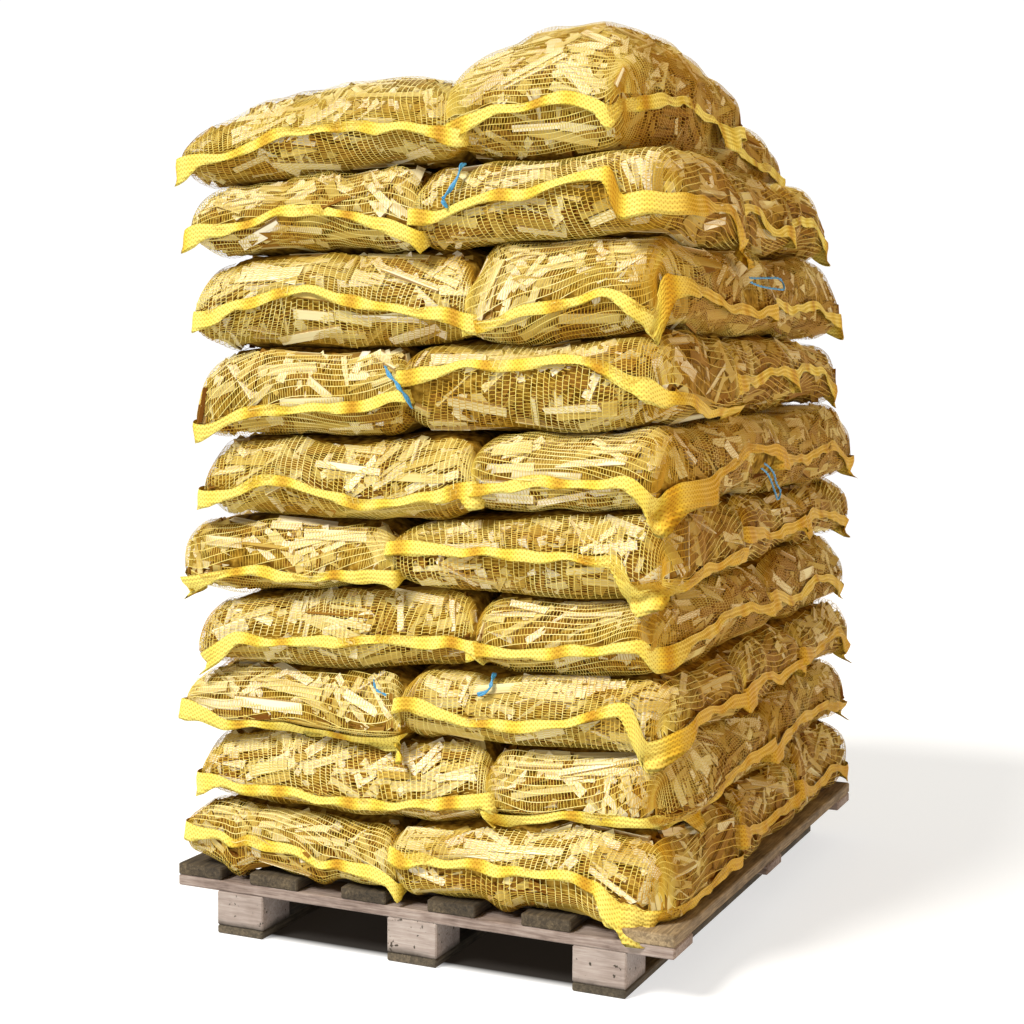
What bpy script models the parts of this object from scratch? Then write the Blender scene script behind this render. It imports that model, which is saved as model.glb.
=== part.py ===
"""Pallet of sacks: a wooden pallet under ten layers of net sacks filled with kindling.

Metres, +Z up. The origin is the middle of the pallet's footprint, on the floor.
X runs along the pallet's 1.0 m side, Y along its 1.2 m side, and -Y is the front.
"""
import math

import bmesh
import bpy
from mathutils import Vector

# Pallet footprint and the clearance that two touching pieces keep.
PALLET_X = 1.000
PALLET_Y = 1.200
CLEAR = 0.0003

# Pallet boards and blocks: thicknesses, widths and places.
BOTTOM_BOARD_THICK = 0.0155
BLOCK_HEIGHT = 0.0658
STRINGER_THICK = 0.0202
DECK_BOARD_THICK = 0.0225
BLOCK_SIDE = 0.100
STRINGER_WIDTH = 0.098
WING = 0.087
STRINGER_Y = (-0.551, 0.0, 0.551)
DECK_BOARDS_X = (
    (-0.500, -0.404),
    (-0.342, -0.238),
    (-0.146, -0.054),
    (0.031, 0.126),
    (0.215, 0.309),
    (0.400, 0.500),
)
EDGE_WEAR = 0.0025

# Chip broken out of the front right block: its depth and its upper end.
CHIP_DEPTH = 0.011
CHIP_TOP = 0.052

# Sack layers, bottom to top: height of the gap above each layer at the left and right faces.
GAP_LEFT = (0.243, 0.378, 0.512, 0.652, 0.784, 0.934, 1.100, 1.270, 1.404)
GAP_RIGHT = (0.283, 0.425, 0.552, 0.697, 0.832, 0.988, 1.136, 1.300, 1.458)
# Reach of each layer: left face, line between its two halves, right face at the front, and how far
# the right face has drawn in at the back.
REACH_LEFT = (-0.490, -0.470, -0.500, -0.468, -0.502, -0.462, -0.470, -0.470, -0.484, -0.505)
HALVING = (-0.036, 0.140, -0.030, 0.110, -0.045, 0.110, -0.024, 0.105, 0.005, 0.082)
REACH_RIGHT = (0.505, 0.500, 0.505, 0.495, 0.505, 0.510, 0.510, 0.515, 0.525, 0.505)
DRAWN_IN = (0.0, 0.0, 0.0, 0.01, 0.01, 0.01, 0.05, 0.05, 0.09, 0.17)
REACH_FRONT = (-0.612, -0.600, -0.606, -0.596, -0.606, -0.600, -0.604, -0.600, -0.606, -0.600)
REACH_BACK = (0.600, 0.606, 0.600, 0.606, 0.600, 0.600, 0.592, 0.590, 0.580, 0.575)

# Sack form: how far neighbours press into each other, the distance over which an edge rounds off,
# how much the sides pull in between the corners, and how plump the sack is against its flat top.
PRESS = 0.016
ROUND_OFF = 0.088
PULL_IN = 0.012
PLUMP = 1.12
# Crown heights of the top layer, which nothing lies on: front, middle and back on the left, then
# front and back on the right. The left ones rise towards the middle of the stack.
CROWNS_LEFT = (1.590, 1.570, 1.560)
CROWNS_RIGHT = (1.680, 1.600)
CROWN_RISE = 0.030
CROWN_FALL = 0.16
CROWN_SEAM = 0.42
SMOOTH_ANGLE = math.radians(70.0)

# Draw-cord tails that hang out of the sacks' mouths, top to bottom: diameter, then the route's points
# from the mouth on. A doubled tail is as wide as its two strands, and a loop goes back into the stack.
DOUBLED_CORD = 0.007
SINGLE_CORD = 0.004
CORD_PITCH = 2.0
CORD_BEVEL_STEPS = 2
DRAW_CORDS = {
    "draw_cord_top_front": (
        DOUBLED_CORD,
        (
            (0.0850, -0.570, 1.4275),
            (0.0820, -0.581, 1.4220),
            (0.0790, -0.588, 1.4040),
            (0.0740, -0.593, 1.3920),
            (0.0680, -0.597, 1.3800),
            (0.0610, -0.601, 1.3705),
            (0.0580, -0.604, 1.3640),
            (0.0600, -0.604, 1.3585),
            (0.0660, -0.600, 1.3495),
        ),
    ),
    "draw_cord_upper_side": (
        SINGLE_CORD,
        (
            (0.4940, -0.224, 1.2325),
            (0.4955, -0.195, 1.2285),
            (0.4965, -0.159, 1.2260),
            (0.4975, -0.120, 1.2245),
            (0.4985, -0.085, 1.2240),
            (0.5000, -0.055, 1.2235),
            (0.5015, -0.034, 1.2235),
            (0.5005, -0.026, 1.2270),
            (0.4980, -0.023, 1.2335),
            (0.4955, -0.026, 1.2400),
            (0.4940, -0.034, 1.2435),
            (0.4925, -0.055, 1.2450),
            (0.4915, -0.085, 1.2440),
            (0.4905, -0.120, 1.2430),
            (0.4905, -0.160, 1.2415),
            (0.4905, -0.195, 1.2405),
            (0.4905, -0.220, 1.2405),
        ),
    ),
    "draw_cord_upper_front": (
        DOUBLED_CORD,
        (
            (-0.0620, -0.587, 1.0770),
            (-0.0570, -0.592, 1.0690),
            (-0.0480, -0.597, 1.0595),
            (-0.0390, -0.601, 1.0530),
            (-0.0310, -0.604, 1.0465),
            (-0.0240, -0.607, 1.0390),
            (-0.0180, -0.605, 1.0315),
            (-0.0130, -0.599, 1.0215),
            (-0.0100, -0.593, 1.0110),
            (-0.0070, -0.589, 1.0020),
        ),
    ),
    "draw_cord_middle_side": (
        SINGLE_CORD,
        (
            (0.4965, -0.137, 0.8880),
            (0.4940, -0.100, 0.8790),
            (0.4910, -0.066, 0.8670),
            (0.4880, -0.038, 0.8540),
            (0.4850, -0.012, 0.8400),
            (0.4820, 0.012, 0.8280),
            (0.4790, 0.030, 0.8195),
            (0.4775, 0.039, 0.8155),
            (0.4770, 0.046, 0.8145),
            (0.4775, 0.052, 0.8170),
            (0.4790, 0.054, 0.8230),
            (0.4800, 0.052, 0.8290),
            (0.4815, 0.042, 0.8350),
            (0.4845, 0.015, 0.8440),
            (0.4875, -0.010, 0.8560),
            (0.4920, -0.035, 0.8690),
            (0.4945, -0.064, 0.8805),
            (0.4970, -0.098, 0.8900),
            (0.4995, -0.130, 0.8965),
        ),
    ),
    "draw_cord_middle_front": (
        DOUBLED_CORD,
        (
            (0.1450, -0.563, 0.5400),
            (0.1450, -0.571, 0.5335),
            (0.1460, -0.580, 0.5255),
            (0.1460, -0.584, 0.5185),
            (0.1430, -0.586, 0.5130),
            (0.1370, -0.588, 0.5080),
            (0.1290, -0.590, 0.5050),
            (0.1230, -0.590, 0.5030),
        ),
    ),
    "draw_cord_lower_front": (
        SINGLE_CORD,
        (
            (-0.0890, -0.579, 0.5115),
            (-0.0840, -0.586, 0.5025),
            (-0.0780, -0.590, 0.4950),
            (-0.0690, -0.592, 0.4910),
            (-0.0620, -0.592, 0.4890),
            (-0.0550, -0.593, 0.4865),
        ),
    ),
    "draw_cord_lower_side": (
        SINGLE_CORD,
        (
            (0.4840, 0.089, 0.3215),
            (0.4820, 0.103, 0.3160),
            (0.4795, 0.115, 0.3105),
            (0.4750, 0.135, 0.3000),
            (0.4720, 0.146, 0.2935),
        ),
    ),
}


def clear_scene():
    """Take every object out of the open file."""
    for old in list(bpy.data.objects):
        bpy.data.objects.remove(old, do_unlink=True)


def paint(name, colour, roughness):
    """One Principled material in a plain colour."""
    material = bpy.data.materials.new(name)
    material.use_nodes = True
    shader = material.node_tree.nodes["Principled BSDF"]
    shader.inputs["Base Color"].default_value = (*colour, 1.0)
    shader.inputs["Roughness"].default_value = roughness
    material.diffuse_color = (*colour, 1.0)
    return material


def add_object(name, verts, faces, material):
    """Make a named object from vertices and faces, with its faces pointing out."""
    mesh = bpy.data.meshes.new(name)
    mesh.from_pydata(verts, [], faces)
    shape = bmesh.new()
    shape.from_mesh(mesh)
    bmesh.ops.recalc_face_normals(shape, faces=shape.faces)
    shape.to_mesh(mesh)
    shape.free()
    mesh.materials.append(material)
    piece = bpy.data.objects.new(name, mesh)
    bpy.context.collection.objects.link(piece)
    return piece


def add_sack(name, verts, faces, material):
    """A sack, or part of a layer of them, shaded smooth but for its seam."""
    sack = add_object(name, verts, faces, material)
    sack.data.shade_smooth()
    sack.data.set_sharp_from_angle(angle=SMOOTH_ANGLE)
    return sack


def make_guide(guide):
    """Mark an object that only shapes others and isn't part of the model."""
    guide.hide_render = True
    guide.display_type = "WIRE"


def box_shape(low, high):
    """Corners and faces of a box between two opposite corners."""
    verts = [(x, y, z) for z in (low[2], high[2]) for y in (low[1], high[1]) for x in (low[0], high[0])]
    faces = [(0, 2, 3, 1), (4, 5, 7, 6), (0, 1, 5, 4), (2, 6, 7, 3), (0, 4, 6, 2), (1, 3, 7, 5)]
    return verts, faces


def add_timber(name, low, high, material):
    """A sawn timber with its edges worn by one small chamfer."""
    timber = add_object(name, *box_shape(low, high), material)
    wear = timber.modifiers.new("edge_wear", "BEVEL")
    wear.width = EDGE_WEAR
    wear.segments = 1
    return timber


def add_pallet():
    """Bottom boards, blocks, stringers and deck boards, each a solid of its own."""
    bottom_wood = paint("weathered_bottom_board", (0.150, 0.130, 0.098), 0.85)
    block_wood = paint("pale_block", (0.470, 0.380, 0.320), 0.85)
    stringer_wood = paint("weathered_stringer", (0.350, 0.275, 0.225), 0.85)
    deck_wood = paint("dark_deck_board", (0.120, 0.098, 0.062), 0.85)

    block_x = (-PALLET_X / 2 + WING + BLOCK_SIDE / 2, 0.0, PALLET_X / 2 - WING - BLOCK_SIDE / 2)
    block_low = BOTTOM_BOARD_THICK + CLEAR
    block_high = block_low + BLOCK_HEIGHT
    for number, x in enumerate(block_x, start=1):
        add_timber(
            f"bottom_board_{number}",
            (x - BLOCK_SIDE / 2, -PALLET_Y / 2, 0.0),
            (x + BLOCK_SIDE / 2, PALLET_Y / 2, BOTTOM_BOARD_THICK),
            bottom_wood,
        )

    for row, y in zip(("front", "middle", "back"), STRINGER_Y):
        y_low = max(y - BLOCK_SIDE / 2, -PALLET_Y / 2)
        y_high = min(y + BLOCK_SIDE / 2, PALLET_Y / 2)
        for column, x in zip(("left", "middle", "right"), block_x):
            block = add_timber(
                f"block_{row}_{column}",
                (x - BLOCK_SIDE / 2, y_low, block_low),
                (x + BLOCK_SIDE / 2, y_high, block_high),
                block_wood,
            )
            if (row, column) == ("front", "right"):
                chip_block(block, x - BLOCK_SIDE / 2, y_low, block_wood)

    stringer_low = block_high + CLEAR
    stringer_high = stringer_low + STRINGER_THICK
    for row, y in zip(("front", "middle", "back"), STRINGER_Y):
        add_timber(
            f"stringer_{row}",
            (-PALLET_X / 2, y - STRINGER_WIDTH / 2, stringer_low),
            (PALLET_X / 2, y + STRINGER_WIDTH / 2, stringer_high),
            stringer_wood,
        )

    deck_low = stringer_high + CLEAR
    deck_high = deck_low + DECK_BOARD_THICK
    for number, (x_low, x_high) in enumerate(DECK_BOARDS_X, start=1):
        add_timber(
            f"deck_board_{number}",
            (x_low, -PALLET_Y / 2, deck_low),
            (x_high, PALLET_Y / 2, deck_high),
            deck_wood,
        )
    return deck_high


def chip_block(block, x, y, material):
    """Break a long chip out of the block's left front edge, below CHIP_TOP."""
    bottom = BOTTOM_BOARD_THICK - CHIP_DEPTH
    points = ((x - CHIP_DEPTH, y - CHIP_DEPTH), (x + CHIP_DEPTH, y - CHIP_DEPTH), (x - CHIP_DEPTH, y + CHIP_DEPTH))
    verts = [(px, py, bottom) for px, py in points]
    verts.append((x - CHIP_DEPTH, y - CHIP_DEPTH, CHIP_TOP + CHIP_DEPTH))
    chip = add_object("chip_shape", verts, [(0, 2, 1), (0, 1, 3), (1, 2, 3), (2, 0, 3)], material)
    make_guide(chip)
    cut = block.modifiers.new("chip", "BOOLEAN")
    cut.operation = "DIFFERENCE"
    cut.object = chip


def blend(t, low, high):
    """Straight line from low at t = 0 to high at t = 1."""
    return low + (high - low) * t


def gap_height(heights, x):
    """Height at x of a gap plane given as its heights at the left and right faces."""
    return blend(x / PALLET_X + 0.5, heights[0], heights[1])


def fullness(inset):
    """Share of a sack's full half-height at a distance in from its edge: a quarter ellipse."""
    t = min(inset / ROUND_OFF, 1.0)
    return math.sqrt(1.0 - (1.0 - t) ** 2)


def sack_stations(low, high):
    """Places along one side of a sack: close together where it rounds off, none over its flat."""
    insets = (0.0, 0.28 * ROUND_OFF, ROUND_OFF)
    near = [low + inset for inset in insets]
    far = [high - inset for inset in reversed(insets)]
    return near + far, list(insets) + list(reversed(insets))


def sack_shape(extent, floor, ceiling, crown=None, rise=0.0):
    """A stuffed pillow between a floor plane and a ceiling plane, or under a free crown.

    extent is its low and high x and y. Its seam runs round it at mid-height, where its corners end
    in thin points. A crown falls away towards its edges, and rises by twice rise from left to right.
    """
    x_low, x_high, y_low, y_high = extent
    xs, x_insets = sack_stations(x_low, x_high)
    ys, y_insets = sack_stations(y_low, y_high)
    if crown is not None:
        middle = len(xs) // 2
        xs.insert(middle, (x_low + x_high) / 2)
        x_insets.insert(middle, (x_high - x_low) / 2)
        ys.insert(middle, (y_low + y_high) / 2)
        y_insets.insert(middle, (y_high - y_low) / 2)
    columns = len(xs)
    rows = len(ys)
    top = []
    bottom = []
    for row, (y, y_inset) in enumerate(zip(ys, y_insets)):
        for column, (x, x_inset) in enumerate(zip(xs, x_insets)):
            across = 2.0 * (x - x_low) / (x_high - x_low) - 1.0
            along = 2.0 * (y - y_low) / (y_high - y_low) - 1.0
            px = x - PULL_IN * across * abs(across) * (1.0 - along ** 2)
            py = y - PULL_IN * along * abs(along) * (1.0 - across ** 2)
            low = gap_height(floor, px) + CLEAR / 2
            full = fullness(x_inset) * fullness(y_inset)
            if crown is None:
                high = gap_height(ceiling, px) - CLEAR / 2
                seam = (low + high) / 2
                above = min(seam + (high - seam) * PLUMP * full, high)
            else:
                peak = crown + rise * across
                seam = low + CROWN_SEAM * (peak - low)
                fall = 1.0 - CROWN_FALL * (across ** 2 + along ** 2)
                above = seam + (peak - seam) * fall * full
            below = max(seam - (seam - low) * PLUMP * full, low)
            rim = row in (0, rows - 1) or column in (0, columns - 1)
            top.append((px, py, seam if rim else above))
            bottom.append(None if rim else (px, py, below))
    return stitch(top, bottom, rows, columns)


def stitch(top, bottom, rows, columns):
    """Join a top and a bottom grid that share their rim into one closed shape."""
    verts = list(top)
    under = {}
    for index, point in enumerate(bottom):
        under[index] = index if point is None else len(verts)
        if point is not None:
            verts.append(point)
    faces = []
    for row in range(rows - 1):
        for column in range(columns - 1):
            a = row * columns + column
            quad = (a, a + 1, a + columns + 1, a + columns)
            rising = (row < rows // 2) == (column < columns // 2)
            faces.extend(halves(quad, rising))
            faces.extend(tuple(reversed(half)) for half in halves([under[i] for i in quad], rising))
    return verts, faces


def halves(quad, rising):
    """Split a cell through its first and third corner, or through its second and fourth.

    The split runs from the sack's corners to its middle, so that a corner cell's two rim edges
    belong to different halves.
    """
    p, q, r, s = quad
    if rising:
        return [(p, q, r), (p, r, s)]
    return [(p, q, s), (q, r, s)]


def spans(low, high, count):
    """Equal shares of a length, each pressed a little into its neighbours."""
    step = (high - low) / count
    shares = []
    for index in range(count):
        start = low + index * step - (PRESS if index > 0 else 0.0)
        end = low + (index + 1) * step + (PRESS if index < count - 1 else 0.0)
        shares.append((start, end))
    return shares


def layer_extents(layer):
    """Footprints of a layer's five sacks: two along and three across, turned on every other layer."""
    left, middle, right = REACH_LEFT[layer], HALVING[layer], REACH_RIGHT[layer]
    front, back = REACH_FRONT[layer], REACH_BACK[layer]
    left_count = 2 if layer % 2 == 0 else 3
    extents = [(left, middle + PRESS, low, high) for low, high in spans(front, back, left_count)]
    for low, high in spans(front, back, 5 - left_count):
        drawn = DRAWN_IN[layer] * ((low + high) / 2 - front) / (back - front)
        extents.append((middle - PRESS - drawn / 2, right - drawn, low, high))
    return extents


def add_layer(layer, deck, netting):
    """Five sacks pressed together into one solid, with the gaps between them left in its faces."""
    last = len(REACH_LEFT) - 1
    if layer == 0:
        floor = (deck + CLEAR / 2, deck + CLEAR / 2)
    else:
        floor = (GAP_LEFT[layer - 1], GAP_RIGHT[layer - 1])
    name = f"sack_layer_{layer + 1:02d}"
    crowns = (CROWNS_LEFT + CROWNS_RIGHT) if layer == last else (None,) * 5
    rises = (CROWN_RISE,) * len(CROWNS_LEFT) + (0.0,) * len(CROWNS_RIGHT)
    ceiling = None if layer == last else (GAP_LEFT[layer], GAP_RIGHT[layer])
    neighbours = bpy.data.collections.new(f"{name}_neighbours")
    bpy.context.scene.collection.children.link(neighbours)
    for number, (extent, crown, rise) in enumerate(zip(layer_extents(layer), crowns, rises)):
        shape = sack_shape(extent, floor, ceiling, crown, rise)
        if number == 0:
            stack = add_sack(name, *shape, netting)
        else:
            neighbour = add_sack(f"{name}_sack_{number + 1}", *shape, netting)
            make_guide(neighbour)
            bpy.context.collection.objects.unlink(neighbour)
            neighbours.objects.link(neighbour)
    press = stack.modifiers.new("pressed_together", "BOOLEAN")
    press.operation = "UNION"
    press.operand_type = "COLLECTION"
    press.collection = neighbours


def smooth_route(route, pitch):
    """Points about pitch apart on a smooth curve through all of the route's points (Catmull-Rom)."""
    points = [Vector(point) for point in route]
    ends = [2 * points[0] - points[1], *points, 2 * points[-1] - points[-2]]
    line = [points[0]]
    for a, b, c, d in zip(ends, ends[1:], ends[2:], ends[3:]):
        steps = max(1, round((c - b).length / pitch))
        for step in range(1, steps + 1):
            t = step / steps
            line.append(
                0.5 * (2 * b + (c - a) * t + (2 * a - 5 * b + 4 * c - d) * t**2 + (3 * b - a - 3 * c + d) * t**3)
            )
    return line


def add_cord(name, diameter, route, material):
    """A round tube along a cord's route, with its ends filled."""
    curve = bpy.data.curves.new(name, "CURVE")
    curve.dimensions = "3D"
    curve.bevel_depth = diameter / 2
    curve.bevel_resolution = CORD_BEVEL_STEPS
    curve.use_fill_caps = True
    line = smooth_route(route, CORD_PITCH * diameter)
    spline = curve.splines.new("POLY")
    spline.points.add(len(line) - 1)
    for point, place in zip(spline.points, line):
        point.co = (*place, 1.0)
    curve.materials.append(material)
    bpy.context.collection.objects.link(bpy.data.objects.new(name, curve))


def main():
    clear_scene()
    deck = add_pallet()
    netting = paint("yellow_netting", (0.640, 0.470, 0.120), 0.70)
    for layer in range(len(REACH_LEFT)):
        add_layer(layer, deck, netting)
    blue_twine = paint("blue_twine", (0.060, 0.260, 0.500), 0.50)
    for name, (diameter, route) in DRAW_CORDS.items():
        add_cord(name, diameter, route, blue_twine)


main()
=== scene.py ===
"""Looks of the pallet of sacks: net sacks of kindling, their bands and draw-cords, and the worn pallet."""
import math
from functools import partial
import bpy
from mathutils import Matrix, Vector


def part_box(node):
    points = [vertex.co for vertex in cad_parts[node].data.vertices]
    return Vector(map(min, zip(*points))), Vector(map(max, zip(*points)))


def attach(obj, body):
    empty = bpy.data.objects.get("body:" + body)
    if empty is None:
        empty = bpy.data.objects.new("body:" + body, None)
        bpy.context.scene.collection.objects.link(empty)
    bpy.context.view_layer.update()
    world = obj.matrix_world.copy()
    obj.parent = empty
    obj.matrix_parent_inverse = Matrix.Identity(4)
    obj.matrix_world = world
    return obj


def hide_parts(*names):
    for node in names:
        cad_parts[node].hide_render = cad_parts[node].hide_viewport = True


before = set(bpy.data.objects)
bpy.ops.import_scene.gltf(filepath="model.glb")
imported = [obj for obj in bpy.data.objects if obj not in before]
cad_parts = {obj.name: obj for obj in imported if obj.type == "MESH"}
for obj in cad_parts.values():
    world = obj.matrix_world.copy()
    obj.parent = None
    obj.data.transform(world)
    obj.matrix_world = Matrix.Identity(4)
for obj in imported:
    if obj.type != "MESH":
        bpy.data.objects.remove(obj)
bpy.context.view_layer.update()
from types import SimpleNamespace

import bpy
import numpy as np
from mathutils import Matrix


# Camera and studio light. The camera stands where the photograph's stood, a little to the right of the
# pallet's front and at two thirds of the stack's height, so that the front and right side show. A broad
# white key light comes from the left, and a warm light fills the right side.
CAMERA_PLACE = (1.494, -3.496, 1.135)
CAMERA_YAW = math.radians(24.21)
CAMERA_PITCH = math.radians(-5.49)
CAMERA_ROLL = math.radians(0.48)
SENSOR_WIDTH = 36.0
FOCAL_PIXELS = 1854.6
IMAGE_PIXELS = 1024
WORLD_STRENGTH = 1.3
# The world's light by how high it comes from: white up to a little over the horizon, warm and dim above
# that, and grey from overhead.
WORLD_TONES = (
    (0.0, "#E8E8E8"), (0.19, "#E8E8E8"), (0.25, "#4A3612"),
    (0.60, "#4A3612"), (0.74, "#A09A8C"), (1.0, "#B8B2A4"),
)


def place_camera():
    """Aim the camera by its yaw, pitch and roll, with a lens that gives the photograph's focal length."""
    ahead = np.array((
        -math.sin(CAMERA_YAW) * math.cos(CAMERA_PITCH),
        math.cos(CAMERA_YAW) * math.cos(CAMERA_PITCH),
        math.sin(CAMERA_PITCH),
    ))
    level = np.array((math.cos(CAMERA_YAW), math.sin(CAMERA_YAW), 0.0))
    upright = np.cross(level, ahead)
    across = math.cos(CAMERA_ROLL) * level + math.sin(CAMERA_ROLL) * upright
    up = -math.sin(CAMERA_ROLL) * level + math.cos(CAMERA_ROLL) * upright
    data = bpy.data.cameras.new("camera")
    data.sensor_width = SENSOR_WIDTH
    data.lens = FOCAL_PIXELS / IMAGE_PIXELS * SENSOR_WIDTH
    camera = bpy.data.objects.new("camera", data)
    turn = Matrix(np.column_stack((across, up, -ahead)).tolist()).to_4x4()
    camera.matrix_world = Matrix.Translation(CAMERA_PLACE) @ turn
    bpy.context.collection.objects.link(camera)
    bpy.context.scene.camera = camera


def linear(colour):
    """Linear RGBA of an sRGB hex colour."""
    values = [int(colour[place:place + 2], 16) / 255 for place in (1, 3, 5)]
    return (*[v / 12.92 if v <= 0.04045 else ((v + 0.055) / 1.055) ** 2.4 for v in values], 1.0)


def add_light(name, kind, place, aim, size, power, colour):
    """A light at a place, aimed at a point: an AREA square of a size, or a SUN as wide as an angle."""
    data = bpy.data.lights.new(name, kind)
    if kind == "SUN":
        data.angle = size
    else:
        data.size = size
    data.energy = power
    data.color = linear(colour)[:3]
    light = bpy.data.objects.new(name, data)
    back = np.array(place, float) - np.array(aim, float)
    back /= np.linalg.norm(back)
    side = np.cross((0.0, 0.0, 1.0), back)
    side /= np.linalg.norm(side)
    turn = Matrix(np.column_stack((side, np.cross(back, side), back)).tolist()).to_4x4()
    light.matrix_world = Matrix.Translation(place) @ turn
    bpy.context.collection.objects.link(light)
    return light


def fill(node, inputs):
    """Fill a node's inputs, each with a value, with a socket, or with another node's first output."""
    for key, value in inputs.items():
        if isinstance(value, bpy.types.Node):
            value = value.outputs[0]
        if isinstance(value, bpy.types.NodeSocket):
            node.id_data.links.new(value, node.inputs[key])
        else:
            node.inputs[key].default_value = value


def add_node(tree, kind, inputs=None, stops=None, **settings):
    """Add a node with its settings, its inputs and its ramp's stops."""
    node = tree.nodes.new("ShaderNode" + kind)
    for name, value in settings.items():
        setattr(node, name, value)
    fill(node, inputs or {})
    if stops:
        ramp = node.color_ramp.elements
        while len(ramp) < len(stops):
            ramp.new(1.0)
        for element, (place, colour) in zip(ramp, stops):
            element.position = place
            element.color = linear(colour)
    return node


place_camera()
add_light(
    "key_light", "SUN", place=(-1.9, -3.7, 5.4), aim=(0.0, 0.0, 0.8), size=math.radians(17.0), power=4.0,
    colour="#FFFBF4",
)
fill_light = add_light(
    "fill_light", "AREA", place=(3.4, -0.9, 2.0), aim=(0.5, 0.0, 0.8), size=1.6, power=33.0, colour="#FFBC30",
)
world = bpy.data.worlds.new("studio")
world.use_nodes = True
add = partial(add_node, world.node_tree)
world_height = add("SeparateXYZ", {0: add("TexCoord").outputs["Generated"]}).outputs[2]
world_tones = add("ValToRGB", {0: world_height}, WORLD_TONES)
fill(world.node_tree.nodes["Background"], {"Color": world_tones, "Strength": WORLD_STRENGTH})
bpy.context.scene.world = world
bpy.context.scene.view_settings.view_transform = "Standard"


# Floor: a smooth white sweep, matt, so that it only takes a soft shadow. It glows a little to stay white, and
# has a painted shadow under the pallet, where no light gets. The warm light leaves it out, so that it takes
# no tint.
FLOOR_HALF = 5.0
FLOOR_DROP = 0.0004
SHADED_HALF = (0.395, 0.590, 0.0)
SHADED_EDGE = 0.030


def new_material(name, **sockets):
    """A Principled material with its uniform values on the shader; its shader; what adds to its nodes."""
    material = bpy.data.materials.new(name)
    material.use_nodes = True
    shader = material.node_tree.nodes["Principled BSDF"]
    fill(shader, {socket.replace("_", " "): value for socket, value in sockets.items()})
    return material, shader, partial(add_node, material.node_tree)


sweep, sweep_shader, add = new_material("matt_white_sweep", Roughness=0.9, Emission_Strength=1.3)
sweep_size = add("VectorMath", {0: add("TexCoord").outputs["Object"]}, operation="ABSOLUTE")
sweep_over = add("VectorMath", {0: sweep_size, 1: SHADED_HALF}, operation="SUBTRACT")
sweep_xy = add("SeparateXYZ", {0: sweep_over})
sweep_out = add("Math", {0: sweep_xy.outputs[0], 1: sweep_xy.outputs[1]}, operation="MAXIMUM")
sweep_share = add("MapRange", {0: sweep_out, 1: -SHADED_EDGE, 2: 0.0})
# Painted shadow: the sweep's colour and glow are dark inside the pallet's footprint, fading out over
# SHADED_EDGE.
sweep_tone = add("ValToRGB", {0: sweep_share}, ((0.0, "#16120E"), (1.0, "#BCBCBC")))
fill(sweep_shader, {"Base Color": sweep_tone, "Emission Color": sweep_tone})

floor_mesh = bpy.data.meshes.new("floor")
floor_signs = ((-1, -1), (1, -1), (1, 1), (-1, 1))
floor_corners = [(x * FLOOR_HALF, y * FLOOR_HALF, -FLOOR_DROP) for x, y in floor_signs]
floor_mesh.from_pydata(floor_corners, [], [(0, 1, 2, 3)])
floor_mesh.materials.append(sweep)
studio_floor = bpy.data.objects.new("studio_floor", floor_mesh)
bpy.context.collection.objects.link(studio_floor)
unfilled = bpy.data.collections.new("not_lit_by_the_fill")
unfilled.objects.link(studio_floor)
unfilled.collection_objects[0].light_linking.link_state = "EXCLUDE"
fill_light.light_linking.receiver_collection = unfilled


# Draw-cord tails: blue polyolefin tape yarn, two strands laid round each other, that closes each sack's
# mouth. The knot stays inside, so only a tail or a loop of the limp tape hangs out and lies on the net.
DOUBLED_CORD = 0.007
SINGLE_CORD = 0.004
TWIST_LENGTHS = {DOUBLED_CORD: 0.070, SINGLE_CORD: 0.035}
CORD_STEP = 0.0025
STRAND_SIDES = 8
STRAND_OUT = 0.5
STRAND_HALF = 0.72
STRAND_FLAT = 0.7
STRAND_TIP = 0.15
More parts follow.
